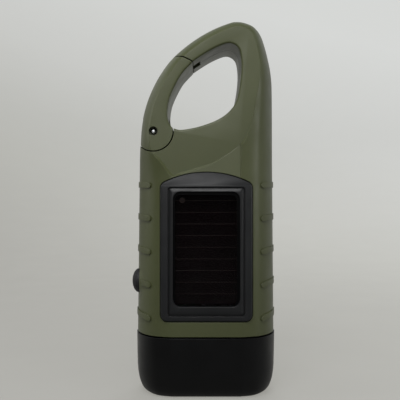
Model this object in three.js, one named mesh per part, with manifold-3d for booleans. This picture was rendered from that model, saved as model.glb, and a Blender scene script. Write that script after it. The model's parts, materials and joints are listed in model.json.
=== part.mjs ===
// A hand crank flashlight with a solar panel and a snap-hook loop. Lengths are in millimetres, +Z is up.
// It stands on its lamp end. +X is to the right as seen from the panel, and +Y is the crank's side.
import * as THREE from "three";
import { mergeVertices } from "three/addons/utils/BufferGeometryUtils.js";
import Module from "manifold-3d";

const wasm = await Module();
wasm.setup();

// Fits: the gap between touching pieces, the seam of head and body, and how far a cutter runs past a face.
const fit = 0.3;
const seamGap = 0.5;
const overrun = 3;
const weld = 1e-4;

// Body: overall size, and the walls of its shells.
const height = 134.6;
const halfWidth = 24.8;
const wall = 2;
const loopRelief = 1;
const headHeight = 21.4;
const bodyBottom = headHeight + seamGap;

// The body's side in layers from the split to the front: depths as shares of the half depth,
// and how far each layer is drawn in, as shares of the half width, on the body and round the loop.
const layerDepthShares = [0, 0.352, 0.641, 0.838, 0.93, 1];
const bodyInsetShares = [0, 0.036, 0.123, 0.236, 0.347, 0.508];
const loopInsetShares = [0, 0.012, 0.04, 0.089, 0.157, 0.194];

// Outline of the body above its straight sides, from right to left, as shares of half width and height.
const crownShares = [
  [0.98, 0.629], [0.976, 0.802], [0.96, 0.856], [0.915, 0.899], [0.847, 0.942],
  [0.796, 0.963], [0.752, 0.974], [0.686, 0.985], [0.557, 0.996], [0.456, 1],
  [0.355, 0.997], [0.073, 0.975], [-0.218, 0.943], [-0.492, 0.9], [-0.669, 0.857],
  [-0.794, 0.814], [-0.883, 0.77], [-0.936, 0.727], [-0.96, 0.684], [-0.972, 0.629],
];
const crownSteps = 36;

// Heights, as shares, over which the sides change from the body's layers to the loop's.
const rightBlendShares = [0.624, 0.951];
const leftBlendShares = [0.55, 0.684];

// Finger hole of the loop, counter-clockwise from its top, as shares of half width and height.
const holeShares = [
  [0.285, 0.924], [0.169, 0.916], [0.023, 0.902], [-0.167, 0.879], [-0.21, 0.871],
  [-0.343, 0.844], [-0.444, 0.811], [-0.516, 0.779], [-0.544, 0.747], [-0.532, 0.723],
  [-0.48, 0.7065], [-0.43, 0.702], [-0.343, 0.6995], [-0.125, 0.7065], [0.097, 0.72],
  [0.242, 0.734], [0.343, 0.75], [0.431, 0.774], [0.48, 0.814], [0.504, 0.857],
  [0.496, 0.889], [0.46, 0.912], [0.37, 0.924],
];
const holeSteps = 30;
const holeChamfer = 1.2;
const holeBottom = height * Math.min(...holeShares.map(([, z]) => z));

// Edge of the flat that lies round the loop, from left to right, as shares of half width and height.
const creaseShares = [
  [-1.2, 0.643], [-0.758, 0.637], [-0.476, 0.582], [-0.363, 0.586], [-0.153, 0.597],
  [0.057, 0.609], [0.27, 0.63], [0.44, 0.651], [0.52, 0.667], [0.593, 0.691],
  [0.649, 0.719], [0.686, 0.75], [0.718, 0.787], [0.734, 0.815], [1.2, 0.83],
];
const slopeFootShare = 0.551;
const slopeTopShare = 0.66;
const slopeHalfWidthShare = 0.495;

// Gate: the hinged side of the loop. It swings about a pin along Y.
const pinXShare = -0.742;
const pinZShare = 0.696;
const pinRadius = 0.8;
const pinSink = 2.6;
const pinMouthRadius = 1.6;
const knuckleRadius = 6.8;
const gateReach = 27.8;
const gateGap = 0.4;
const gateSectorDegrees = [35, 172];
const lugRadius = 5;
const lugHalfDepth = 3;
const springRoom = 2.6;
const springWire = 0.2;
const springRadius = 2;
const springTurns = 3;
const springLegReach = 9.5;
const springLeanDegrees = 12;
const tongueLong = 2.6;
const tongueReach = gateReach + tongueLong;
const tongueHalfDepth = 3;
const tongueDegrees = [62, 67];
const tongueSlotDegrees = 12;
const tongueRoom = 0.6;
const pinX = pinXShare * halfWidth;
const pinZ = pinZShare * height;

// Solar panel in the front, all centred on panelX: the bezel, the groove in it and the pane.
const panelX = 0.25;
const bezelSide = 8.65;
const bezelFoot = 5.4;
const bezelOverSlope = 5;
const bezelRise = 4;
const bezelCorner = 2.4;
const bezelProud = 0.2;
const bezelFlange = 1.3;
const bezelFlangeThick = 1.6;
const bezelHalfWidth = halfWidth - bezelSide;
const bezelBottom = bodyBottom + bezelFoot;
const bezelTop = slopeFootShare * height + bezelOverSlope;
const bezelShoulder = bezelTop - bezelRise;
const grooveInset = 2.5;
const grooveWidth = 0.5;
const grooveDepth = 0.5;
const grooveFoot = 2.1;
const grooveHead = 1;
const panelSide = 5.15;
const panelFoot = 6.5;
const panelHead = 3.8;
const panelHalfWidth = bezelHalfWidth - panelSide;
const panelBottom = bezelBottom + panelFoot;
const panelTop = bezelShoulder - panelHead;
const panelCorner = 1.8;
const rimWidth = 1;
const rimDepth = 1;
const pocketLip = 1.2;
const pocketDepth = 1.5;
const windowThick = 0.8;
const gasketThick = 0.5;
const cellThick = 0.8;

// Grip ribs down both sides, from beside the bezel's shoulder to above the body's foot.
const ribCount = 5;
const ribDrop = 0.4;
const ribFoot = 5.9;
const ribHeight = 2.3;
const ribProud = 0.65;
const ribReachShare = 0.76;
const ribTop = bezelShoulder - ribDrop;
const ribPitch = (ribTop - bodyBottom - ribFoot) / (ribCount - 1);

// Head: the lamp end, with its lens, seal, reflector, board and three lamps. Its side is rounded in
// from the base up, by heights as shares of its height and insets as shares of the half width.
const headWall = 2.2;
const headRoundShares = [[0, 0.069], [0.023, 0.046], [0.093, 0.028], [0.234, 0.008], [0.42, -0.004]];
const headFlare = 0.3;
const collarHeight = 2.4;
const collarThick = 1.6;
const collarRoot = 3;
const lipThick = 1.4;
const lipWidth = 2.4;
const lensThick = 1.8;
const sealThick = 0.9;
const sealWidth = 1.8;
const reflectorPlate = 1.2;
const cupMargin = 1.1;
const cupGap = 1.2;
const cupWall = 0.8;
const cupThroatRadius = 3.1;
const cupMouthRadius = (halfWidth - headWall - fit - cupMargin - cupGap - cupWall) / 3;
const cupPitch = 2 * cupMouthRadius + cupGap;
const lampRadius = 2.4;
const lampHeight = 4.2;
const lampDomeShares = [0, 0.4, 0.75, 1];
const lampBoardThick = 1.2;
const lampHeadroom = 1.2;

// Crank on the back: a round deck between the body's foot and the finger hole, and an arm over it.
const deckFoot = 4.3;
const deckHead = 6.75;
const deckWall = 1.8;
const deckRunout = 0.6;
const deckRadius = (holeBottom - deckHead - bodyBottom - deckFoot) / 2;
const hubZ = bodyBottom + deckFoot + deckRadius;
const crankReach = deckRadius - deckRunout;
const armLift = 1.2;
const armThick = 4;
const armRecess = 1.8;
const armHalfWidth = 6.2;
const armTipWall = 2.3;
const hubRadius = 9;
const crankShaftRadius = 2;
const crankJournalRadius = 1.4;
const driveRadius = 2.5;
const bushWall = 1.3;
const bushFlange = 1.4;
const bushFlangeThick = 0.5;
const armScrewHead = 3.4;
const armScrewHeadThick = 1;
const screwCore = 1;
const screwReach = 3.4;
const knobRadius = 2.9;
const knobGap = 0.5;
const knobLift = 0.8;
const slotStart = 6.4;
const slotHalfWidth = knobRadius + knobGap;
const knobBlockHalfWidth = slotHalfWidth - fit;
const foldReach = crankReach - armTipWall - fit - knobRadius;
const foldPinRadius = 0.9;
const foldPinCover = 1;
const foldPinHalfLength = armHalfWidth - foldPinCover;
const spindleRadius = 1;
const spindleHeadRadius = 1.7;
const spindleHeadThick = 0.8;
const spindleSeatWall = 0.4;

// Gear train between crank and generator, in three layers along Y from the deck inwards.
const crankTeeth = 40;
const wheelTeeth = 36;
const pinionTeeth = 12;
const toothAddendum = 0.75;
const toothDedendum = 1.05;
const toothBacklash = 0.16;
const toothGapShare = 0.92;
const pressureDegrees = 22;
const gearThick = 1.7;
const layerGap = 0.55;
const layerCount = 3;
const axleRadius = 0.8;
const axleFit = 0.25;
const idlerOneDegrees = 115;
const idlerTwoDegrees = -5;
const rotorDegrees = -95;
const plateThick = 1.2;
const plateMargin = 3.6;
const axleSink = 0.9;
const postRadius = 2.3;
const postGap = 1.2;
const postDegrees = [183, 62];

// The train, so many modules long, lies between the hub and the far post, in the largest circle
// that both the deck and the case's width have room for.
const trainModules = 42.7;
const trainRoomShare = 1.42;
const trainRoom = Math.min(deckRadius, trainRoomShare * halfWidth);
const toothModule = (trainRoom - plateMargin - postGap - postRadius) / trainModules;

// Generator in front of the gear plate.
const bobbinRadius = 5.5;
const bobbinWall = 0.5;
const airGap = 0.6;
const magnetRadius = bobbinRadius - airGap;
const coilThick = 1.3;
const coilCover = 0.1;
const coilInner = bobbinRadius + bobbinWall + fit / 2;
const bobbinFlangeRadius = coilInner + coilThick + coilCover;
const yokeWall = 0.7;
const yokeRadius = bobbinFlangeRadius + fit + yokeWall;
const statorDepth = 4.9;
const capThick = 0.7;
const generatorGap = 0.6;

// Depth of the case: what lies in it, from the panel through the generator and gears to the crank.
const panelStack = pocketDepth - bezelProud + windowThick + gasketThick + cellThick + 3 * fit;
const generatorStack = generatorGap + capThick + fit + statorDepth + fit + plateThick;
const gearStack = layerGap + layerCount * (gearThick + layerGap);
const crankStack = deckWall + armLift + armThick + armRecess;
const halfDepth = (panelStack + generatorStack + gearStack + crankStack) / 2;
const loopHalfDepth = halfDepth - loopRelief;
const deckDepth = halfDepth - armRecess - armThick - armLift;
const knobAxisDepth = deckDepth + knobLift + knobRadius;

// Button in the left side, beside the fourth rib, and the switch that it pushes.
const buttonRib = 3;
const buttonRise = 0.5;
const buttonZ = ribTop - buttonRib * ribPitch + buttonRise;
const buttonDepth = -2;
const buttonRadius = 4.35;
const buttonProud = 1.9;
const buttonLip = 0.95;
const buttonFlangeRadius = buttonRadius + buttonLip;
const buttonFlangeThick = 0.8;
const buttonFlangeGap = 0.4;
const buttonFlangeX = -halfWidth + wall + buttonFlangeGap;
const buttonDomeShare = 0.7;
const buttonDomeShares = [0, 0.28, 0.55, 0.8, 1];
const buttonTravel = 1.2;
const buttonStem = 1.6;
const stemRadius = 1.3;
const stemEnd = buttonFlangeX + buttonFlangeThick + buttonStem;
const plungerRadius = 1.2;
const plungerShow = 2.5;
const plungerSink = 2.6;
const switchLeft = stemEnd + plungerShow;
const switchLong = 5;
const switchTall = 7;
const switchCover = 2.15;

// Main board behind the solar cell, with places on it as shares of its width and height.
const boardThick = 1;
const boardGap = 0.7;
const boardFoot = 6.2;
const boardTallShare = 1.045;
const boardSide = 1;
const switchOverhang = 1.5;
const chip = { width: 5, tall: 4, high: 1.5 };
const chipShares = [0.56, 0.75];
const rectifier = { width: 3.6, tall: 3, high: 1.8 };
const rectifierShares = [0.48, 0.906];
const capacitorRadius = 2.5;
const capacitorHigh = 5;
const capacitorShares = [0.76, 0.5];
const solarLeadShare = 0.15;
const batteryLeadShare = 0.34;

// Screws of the case, driven from the back: two above the deck and two beside the body's foot.
const screwHeadRadius = 1.9;
const screwHeadThick = 1.2;
const screwRadius = 0.9;
const screwBossRadius = 2.9;
const screwSink = 4;
const screwDepth = 7;
const slotCut = 0.5;
const upperScrewShares = [-0.323, 0.682];
const lowerScrewSide = 5.9;
const lowerScrewRise = 5.8;

// Three button cells in a row along X against the deck's wall, with a tab at each end.
const cellRadius = 5.4;
const batteryThick = 5;
const batteryCount = 3;
const batteryFoot = 3.3;
const batterySide = 1.25;
const tabThick = 0.35;
const tabWidth = 4;
const tabRise = 7.2;

// Leads: the radius of a pair of twisted cores, and how far one stands off before it bends over.
const leadRadius = 0.5;
const leadRise = 2.6;
const lampLeadXShare = 0.16;
const lampLeadYShare = -0.35;

// Finishes.
const olive = new THREE.MeshStandardMaterial({ color: 0x565b3a, roughness: 0.62, metalness: 0 });
const black = new THREE.MeshStandardMaterial({ color: 0x202124, roughness: 0.5, metalness: 0 });
const rubber = new THREE.MeshStandardMaterial({ color: 0x17181a, roughness: 0.85, metalness: 0 });
const clear = new THREE.MeshStandardMaterial({
  color: 0xe8eef2, roughness: 0.05, metalness: 0, transparent: true, opacity: 0.35,
});
const solarGlass = new THREE.MeshStandardMaterial({ color: 0x1a0d12, roughness: 0.15, metalness: 0.1 });
const chrome = new THREE.MeshStandardMaterial({ color: 0xd8dadc, roughness: 0.08, metalness: 1 });
const steel = new THREE.MeshStandardMaterial({ color: 0xb9bcc0, roughness: 0.32, metalness: 1 });
const lampMaterial = new THREE.MeshStandardMaterial({ color: 0xf3f4ea, roughness: 0.2, metalness: 0 });
const boardGreen = new THREE.MeshStandardMaterial({ color: 0x1f5a34, roughness: 0.5, metalness: 0 });
const nylon = new THREE.MeshStandardMaterial({ color: 0xe9e6da, roughness: 0.55, metalness: 0 });
const copper = new THREE.MeshStandardMaterial({ color: 0xb4693a, roughness: 0.35, metalness: 1 });
const magnetGrey = new THREE.MeshStandardMaterial({ color: 0x4a4c50, roughness: 0.45, metalness: 0.6 });
const leadRed = new THREE.MeshStandardMaterial({ color: 0xa02018, roughness: 0.6, metalness: 0 });

const flashlight = new THREE.Group();

// A closed geometry as a solid that can be joined and cut.
function solidOf(geometry) {
  const bare = geometry.clone();
  bare.deleteAttribute("normal");
  bare.deleteAttribute("uv");
  const merged = mergeVertices(bare, weld);
  const vertProperties = new Float32Array(merged.attributes.position.array);
  const triVerts = new Uint32Array(merged.index.array);
  return new wasm.Manifold(new wasm.Mesh({ numProp: 3, vertProperties, triVerts }));
}

// Adds a solid to the flashlight as a named mesh.
function addPiece(name, solid, material) {
  const made = solid.getMesh();
  const geometry = new THREE.BufferGeometry();
  geometry.setAttribute("position", new THREE.BufferAttribute(made.vertProperties, made.numProp));
  geometry.setIndex(new THREE.BufferAttribute(made.triVerts, 1));
  geometry.computeVertexNormals();
  const mesh = new THREE.Mesh(geometry, material);
  mesh.name = name;
  flashlight.add(mesh);
}

const joined = (first, ...rest) => rest.reduce((whole, next) => whole.add(next), first);
const cut = (first, ...rest) => rest.reduce((whole, next) => whole.subtract(next), first);

function box(x0, x1, y0, y1, z0, z1) {
  const geometry = new THREE.BoxGeometry(x1 - x0, y1 - y0, z1 - z0);
  return solidOf(geometry.translate((x0 + x1) / 2, (y0 + y1) / 2, (z0 + z1) / 2));
}

// A cylinder along Y through (x, z).
function disc(x, z, radius, y0, y1, steps = 24) {
  const geometry = new THREE.CylinderGeometry(radius, radius, y1 - y0, steps);
  return solidOf(geometry.translate(x, (y0 + y1) / 2, z));
}

// A cylinder along X through (y, z).
function crossPin(y, z, radius, x0, x1, steps = 12) {
  const geometry = new THREE.CylinderGeometry(radius, radius, x1 - x0, steps).rotateZ(Math.PI / 2);
  return solidOf(geometry.translate((x0 + x1) / 2, y, z));
}

// A cylinder along Z through (x, y).
function upright(x, y, radius, z0, z1, steps = 16) {
  const geometry = new THREE.CylinderGeometry(radius, radius, z1 - z0, steps).rotateX(Math.PI / 2);
  return solidOf(geometry.translate(x, y, (z0 + z1) / 2));
}

// An outline in X and Z, run along Y.
function prism(outline, y0, y1) {
  const geometry = new THREE.ExtrudeGeometry(new THREE.Shape(outline), {
    depth: y1 - y0, bevelEnabled: false,
  });
  return solidOf(geometry.rotateX(Math.PI / 2).translate(0, y1, 0));
}

// An outline in X and Y, run up Z.
function pillar(outline, z0, z1) {
  const geometry = new THREE.ExtrudeGeometry(new THREE.Shape(outline), {
    depth: z1 - z0, bevelEnabled: false,
  });
  return solidOf(geometry.translate(0, 0, z0));
}

// An outline in Y and Z, run along X.
function beam(outline, x0, x1) {
  const geometry = new THREE.ExtrudeGeometry(new THREE.Shape(outline), {
    depth: x1 - x0, bevelEnabled: false,
  });
  const turn = new THREE.Matrix4().makeBasis(
    new THREE.Vector3(0, 1, 0), new THREE.Vector3(0, 0, 1), new THREE.Vector3(1, 0, 0),
  );
  return solidOf(geometry.applyMatrix4(turn).translate(x0, 0, 0));
}

// A profile of [radius, distance] points turned about Z through (x, y).
function turnedUpright(profile, x, y, steps = 14) {
  const points = profile.map(([radius, along]) => new THREE.Vector2(radius, along));
  const geometry = new THREE.LatheGeometry([...points, points[0].clone()], steps).rotateX(Math.PI / 2);
  return solidOf(geometry.translate(x, y, 0));
}

// A skin over rings of equally many points, closed at both ends. flat gives a point's place in a ring's plane.
function loft(rings, flat) {
  const count = rings[0].length;
  const index = [];
  for (let ring = 0; ring + 1 < rings.length; ring += 1) {
    for (let i = 0; i < count; i += 1) {
      const a = ring * count + i;
      const b = ring * count + ((i + 1) % count);
      index.push(a, b, a + count, b, b + count, a + count);
    }
  }
  const last = (rings.length - 1) * count;
  for (const [a, b, c] of THREE.ShapeUtils.triangulateShape(rings[0].map(flat), [])) index.push(c, b, a);
  for (const [a, b, c] of THREE.ShapeUtils.triangulateShape(rings.at(-1).map(flat), [])) {
    index.push(last + a, last + b, last + c);
  }
  const points = rings.flat();
  const volume = signedVolume(points, index);
  const geometry = new THREE.BufferGeometry().setFromPoints(points);
  geometry.setIndex(volume < 0 ? index.reverse() : index);
  return solidOf(geometry);
}

function signedVolume(points, index) {
  let volume = 0;
  for (let i = 0; i < index.length; i += 3) {
    const [a, b, c] = [points[index[i]], points[index[i + 1]], points[index[i + 2]]];
    volume += a.dot(b.clone().cross(c));
  }
  return volume;
}

// A section carried along a smooth curve through the points, with flat ends.
function swept(points, section, steps) {
  const path = new THREE.CatmullRomCurve3(points, false, "centripetal");
  return solidOf(new THREE.ExtrudeGeometry(section, { steps, bevelEnabled: false, extrudePath: path }));
}

const point = (x, z) => new THREE.Vector2(x, z);
const onXZ = (p) => point(p.x, p.z);
const onXY = (p) => point(p.x, p.y);

// Each vertex of a counter-clockwise outline moved outwards by distance, a number or a function of the vertex.
function grown(outline, distance) {
  const count = outline.length;
  const edgeNormal = (from, to) => point(to.y - from.y, from.x - to.x).normalize();
  return outline.map((here, i) => {
    const before = edgeNormal(outline[(i + count - 1) % count], here);
    const after = edgeNormal(here, outline[(i + 1) % count]);
    const push = typeof distance === "function" ? distance(here) : distance;
    const reach = push / (1 + before.dot(after));
    return here.clone().addScaledVector(before.add(after), reach);
  });
}

const fromShares = (shares) => shares.map(([x, z]) => point(x * halfWidth, z * height));

// The corners of a regular polygon about (x, z), counter-clockwise.
function polygon(x, z, radius, corners) {
  return Array.from({ length: corners }, (_, i) => {
    const angle = (i / corners) * 2 * Math.PI;
    return point(x + radius * Math.cos(angle), z + radius * Math.sin(angle));
  });
}

function roundedRectangle(left, right, bottom, top, corner, steps = 3) {
  const centres = [[right, bottom], [right, top], [left, top], [left, bottom]];
  const points = [];
  centres.forEach(([x, z], quarter) => {
    const cx = x - Math.sign(x - (left + right) / 2) * corner;
    const cz = z - Math.sign(z - (bottom + top) / 2) * corner;
    for (let i = 0; i <= steps; i += 1) {
      const angle = ((quarter - 1 + i / steps) * Math.PI) / 2;
      points.push(point(cx + corner * Math.cos(angle), cz + corner * Math.sin(angle)));
    }
  });
  return points;
}

// Outline of a round sector about a centre, between two angles in degrees.
function sector(x, z, radius, [from, to], steps = 24) {
  const points = [point(x, z)];
  for (let i = 0; i <= steps; i += 1) {
    const angle = THREE.MathUtils.degToRad(from + ((to - from) * i) / steps);
    points.push(point(x + radius * Math.cos(angle), z + radius * Math.sin(angle)));
  }
  return points;
}

// Body outline, counter-clockwise from its lower right corner.
function bodyOutline() {
  const crown = new THREE.SplineCurve(fromShares(crownShares)).getSpacedPoints(crownSteps);
  return [point(halfWidth, bodyBottom), ...crown, point(-halfWidth, bodyBottom)];
}

// How far the outline is drawn in at a layer, and how the layers change from the body to the loop.
function layerInset(place, layer) {
  const [start, end] = place.x > 0 ? rightBlendShares : leftBlendShares;
  const blend = THREE.MathUtils.smoothstep(place.y, start * height, end * height);
  const share = THREE.MathUtils.lerp(bodyInsetShares[layer], loopInsetShares[layer], blend);
  return share * halfWidth;
}

// The whole body as one solid block, made larger all round by proud.
function bodyBlock(proud) {
  const outline = bodyOutline();
  const layers = [...layerDepthShares.keys()];
  const signedLayers = [...layers.slice(1).reverse().map((layer) => -layer), ...layers];
  const rings = signedLayers.map((signed) => {
    const layer = Math.abs(signed);
    const depth = Math.sign(signed) * (layerDepthShares[layer] * halfDepth + proud);
    return grown(outline, (place) => proud - layerInset(place, layer)).map((p, i) => {
      const atFoot = i === 0 || i === outline.length - 1;
      return new THREE.Vector3(p.x, depth, atFoot ? bodyBottom : p.y);
    });
  });
  return loft(rings, onXZ);
}

// Cross-section of the body in X and Y, counter-clockwise, made larger by proud.
function planOutline(proud) {
  const layers = layerDepthShares.map((depth, layer) => ({
    x: halfWidth * (1 - bodyInsetShares[layer]), y: depth * halfDepth,
  }));
  const backRight = layers.map(({ x, y }) => point(x, y));
  const backLeft = layers.map(({ x, y }) => point(-x, y)).reverse();
  const frontLeft = layers.slice(1).map(({ x, y }) => point(-x, -y));
  const frontRight = layers.slice(1).map(({ x, y }) => point(x, -y)).reverse();
  return grown([...backRight, ...backLeft, ...frontLeft, ...frontRight], proud);
}

function holeOutline() {
  const corners = fromShares(holeShares).map((p) => new THREE.Vector3(p.x, p.y, 0));
  const curve = new THREE.CatmullRomCurve3(corners, true, "centripetal");
  return curve.getSpacedPoints(holeSteps).slice(1).map(onXY);
}

// The finger hole, with its edges flared at both faces.
function holeCutter() {
  const outline = holeOutline();
  const straight = loopHalfDepth - holeChamfer;
  const levels = [
    [-halfDepth - overrun, holeChamfer], [-loopHalfDepth, holeChamfer], [-straight, 0],
    [straight, 0], [loopHalfDepth, holeChamfer], [halfDepth + overrun, holeChamfer],
  ];
  const rings = levels.map(([y, flare]) => grown(outline, flare).map((p) => new THREE.Vector3(p.x, y, p.y)));
  return loft(rings, onXZ);
}

// What is taken off the front so that the loop lies lower than the body, with the slope that leads up to it.
function frontRelief() {
  const beyond = halfWidth + overrun;
  const top = height + overrun;
  const crease = fromShares(creaseShares);
  const above = prism(
    [...crease, point(beyond, top), point(-beyond, top)], -halfDepth - overrun, -loopHalfDepth,
  );
  const slope = beam([
    point(-halfDepth, slopeFootShare * height),
    point(-loopHalfDepth, slopeTopShare * height),
    point(-halfDepth - overrun, slopeTopShare * height),
    point(-halfDepth - overrun, slopeFootShare * height),
  ], -slopeHalfWidthShare * halfWidth, slopeHalfWidthShare * halfWidth);
  return above.add(slope);
}

function backRelief() {
  const beyond = halfWidth + overrun;
  return box(-beyond, beyond, loopHalfDepth, halfDepth + overrun, hubZ, height + overrun);
}

// The ribs on each side, run round from front to back.
function ribs() {
  const inner = ribReachShare * halfWidth;
  const outer = halfWidth + overrun;
  const bands = [];
  for (let i = 0; i < ribCount; i += 1) {
    const low = ribTop - i * ribPitch - ribHeight / 2;
    const high = low + ribHeight;
    const right = roundedRectangle(inner, outer, low, high, ribHeight / 2, 2);
    const left = roundedRectangle(-outer, -inner, low, high, ribHeight / 2, 2);
    bands.push(prism(right, -halfDepth - overrun, deckDepth), prism(left, -halfDepth - overrun, deckDepth));
  }
  return joined(...bands).intersect(bodyBlock(ribProud));
}

// The body with the loop and the back's upper part set lower.
const relievedBlock = () => cut(bodyBlock(0), frontRelief(), backRelief());

// Everything within the gate's reach, made larger by clearance.
function gateRegion(clearance) {
  const arm = sector(pinX, pinZ, gateReach + clearance, gateSectorDegrees, 20);
  const depth = halfDepth + overrun;
  return prism(arm, -depth, depth).add(disc(pinX, pinZ, knuckleRadius + clearance, -depth, depth, 32));
}

// The lug of the body that the gate's two cheeks straddle, with its eye round the pin.
function hingeLug() {
  const eye = disc(pinX, pinZ, lugRadius, -lugHalfDepth, lugHalfDepth, 28);
  const stalk = prism([
    point(pinX - lugRadius, pinZ), point(pinX - lugRadius, pinZ - knuckleRadius - wall),
    point(pinX + lugRadius, pinZ - knuckleRadius - wall), point(pinX + lugRadius, pinZ),
  ], -lugHalfDepth, lugHalfDepth);
  const bore = disc(pinX, pinZ, pinRadius + fit, -lugHalfDepth - overrun, lugHalfDepth + overrun, 12);
  return cut(eye.add(stalk), bore);
}

// The room between the gate's cheeks: the lug, and beside it the spring.
function lugRoom() {
  return disc(pinX, pinZ, knuckleRadius + gateGap, -lugHalfDepth - fit, lugHalfDepth + springRoom, 32);
}

// The stop at the gate's end, which goes into the loop's nose, or the slot that it swings through.
function tongue(clearance, sweepDegrees) {
  const [from, to] = tongueDegrees;
  const outer = sector(pinX, pinZ, tongueReach, [from - sweepDegrees, to]);
  const depth = tongueHalfDepth + clearance;
  const inner = disc(pinX, pinZ, gateReach - wall, -depth - overrun, depth + overrun, 48);
  return prism(grown(outer, clearance), -depth, depth).subtract(inner);
}

// The round deck cut into the back, where the crank turns.
function deckCutter() {
  return disc(0, hubZ, deckRadius, deckDepth, halfDepth + overrun, 48);
}

// The hollow inside the two shells.
function cavity() {
  const room = pillar(planOutline(-wall), bodyBottom - overrun, cavityTop);
  const underDeck = disc(0, hubZ, deckRadius + wall, deckDepth - deckWall, halfDepth, 48);
  return room.subtract(underDeck);
}

function bezelOutline(clearance) {
  const rise = bezelTop - bezelShoulder;
  const radius = (bezelHalfWidth ** 2 + rise ** 2) / (2 * rise);
  const half = Math.asin(bezelHalfWidth / radius);
  const points = roundedRectangle(
    panelX - bezelHalfWidth, panelX + bezelHalfWidth, bezelBottom, bezelShoulder, bezelCorner,
  );
  const foot = points.filter((p) => p.y < (bezelBottom + bezelShoulder) / 2);
  const leftFoot = foot.filter((p) => p.x < panelX);
  const rightFoot = foot.filter((p) => p.x > panelX);
  const arc = [];
  const arcSteps = 14;
  for (let i = 0; i <= arcSteps; i += 1) {
    const angle = half - (2 * half * i) / arcSteps;
    arc.push(point(panelX + radius * Math.sin(angle), bezelTop - radius + radius * Math.cos(angle)));
  }
  return grown([...rightFoot, ...arc, ...leftFoot], clearance);
}

const hub = { x: 0, z: hubZ };
const lowerScrewX = halfWidth - lowerScrewSide;
const upperScrewReach = deckRadius + screwBossRadius + fit;
const upperScrewAt = (x) => ({ x, z: hubZ + Math.sqrt(upperScrewReach ** 2 - x ** 2) });
const caseScrews = [
  ...upperScrewShares.map((share) => upperScrewAt(share * halfWidth)),
  { x: lowerScrewX, z: bodyBottom + lowerScrewRise },
  { x: -lowerScrewX, z: bodyBottom + lowerScrewRise },
];

function stepFrom(start, distance, degrees) {
  const angle = THREE.MathUtils.degToRad(degrees);
  return { x: start.x + distance * Math.cos(angle), z: start.z + distance * Math.sin(angle) };
}

// Screw bosses, and the holes through them, for the case screws.
function screwBosses() {
  const bosses = caseScrews.map(({ x, z }) => disc(x, z, screwBossRadius, -halfDepth, halfDepth, 16));
  return joined(...bosses).intersect(relievedBlock());
}

function screwHoles() {
  const holes = caseScrews.map(({ x, z }) => {
    const shank = disc(x, z, screwRadius + fit, -screwDepth - fit, halfDepth + overrun, 12);
    const head = disc(x, z, screwHeadRadius + fit, halfDepth - screwSink, halfDepth + overrun, 16);
    return shank.add(head);
  });
  return joined(...holes);
}

// The hole in the left side for the button, with room behind it for the button's flange.
function buttonHole() {
  const through = crossPin(buttonDepth, buttonZ, buttonRadius + fit, -halfWidth - overrun, -halfWidth / 2, 24);
  const room = crossPin(
    buttonDepth, buttonZ, buttonFlangeRadius + fit, buttonFlangeX - buttonFlangeGap, -halfWidth / 2, 24,
  );
  return through.add(room);
}

// Both shells as one body, before the split.
function casing() {
  const ribbed = relievedBlock().add(ribs());
  const hollow = cut(ribbed, cavity()).add(screwBosses());
  const opened = cut(hollow, holeCutter(), deckCutter(), gateRegion(gateGap), screwHoles(), buttonHole());
  return opened.add(hingeLug()).subtract(tongue(tongueRoom, tongueSlotDegrees));
}

function frontHalf() {
  const beyond = height + overrun;
  return box(-beyond, beyond, -beyond, -fit / 2, -beyond, beyond);
}

function backHalf() {
  const beyond = height + overrun;
  return box(-beyond, beyond, fit / 2, beyond, -beyond, beyond);
}

function addShells() {
  const whole = casing();
  const panelOpening = prism(bezelOutline(fit), -halfDepth - overrun, -halfDepth + wall + overrun);
  const flangeRoom = prism(
    bezelOutline(bezelFlange + fit), -halfDepth + wall, -halfDepth + wall + bezelFlangeThick + fit,
  );
  addPiece("front_shell", cut(whole.intersect(frontHalf()), panelOpening, flangeRoom), olive);
  const bushHole = disc(0, hubZ, bushRadius + fit, deckDepth - overrun, deckDepth + overrun, 24);
  const back = joined(whole.intersect(backHalf()), ...gearPosts());
  addPiece("back_shell", cut(back, bushHole, ...axleSockets(), ...postBores()), olive);
}

// The gate: the part of the loop within its reach, with room for the lug, and a tongue for a stop.
function addGate() {
  const ring = relievedBlock().subtract(holeCutter());
  const arm = cut(ring.intersect(gateRegion(0)), lugRoom());
  const bore = disc(pinX, pinZ, pinRadius + fit, -halfDepth, halfDepth, 12);
  const mouth = loopHalfDepth - pinSink + fit;
  const mouths = [
    disc(pinX, pinZ, pinMouthRadius, -halfDepth, -mouth, 16),
    disc(pinX, pinZ, pinMouthRadius, mouth, halfDepth, 16),
  ];
  addPiece("gate", cut(arm.add(tongue(0, 0)), bore, ...mouths, springPocket()), olive);
  const pinHalf = loopHalfDepth - pinSink;
  addPiece("gate_pin", disc(pinX, pinZ, pinRadius, -pinHalf, pinHalf, 16), steel);
}

const springY = lugHalfDepth + springRoom - fit - springWire;

// The slot in the gate's arm that takes the spring's leg.
function springPocket() {
  const half = springWire + fit;
  const x = -springRadius;
  return leaned(box(x - half, x + half, springY - half, springY + half, 0, springLegReach + fit));
}

// Leans a solid that stands upright to the side of the spring's leg, and puts it at the pin.
function leaned(solid) {
  return solid.rotate([0, springLeanDegrees, 0]).translate([pinX, 0, pinZ]);
}

// A torsion spring round the pin, whose end runs on as a leg, up inside the gate.
function addGateSpring() {
  const stepsPerTurn = 8;
  const rise = springRoom - 2 * fit - 2 * springWire;
  const points = [];
  const steps = springTurns * stepsPerTurn;
  for (let i = 0; i <= steps; i += 1) {
    const angle = (i / stepsPerTurn) * 2 * Math.PI;
    const y = springY - rise * (1 - i / steps);
    points.push(new THREE.Vector3(-springRadius * Math.cos(angle), y, springRadius * Math.sin(angle)));
  }
  const legSteps = 4;
  for (let i = 1; i <= legSteps; i += 1) {
    points.push(new THREE.Vector3(-springRadius, springY, (springLegReach * i) / legSteps));
  }
  const sweepSteps = steps + 3 * legSteps;
  addPiece("gate_spring", leaned(swept(points, new THREE.Shape(polygon(0, 0, springWire, 5)), sweepSteps)), steel);
}

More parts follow.
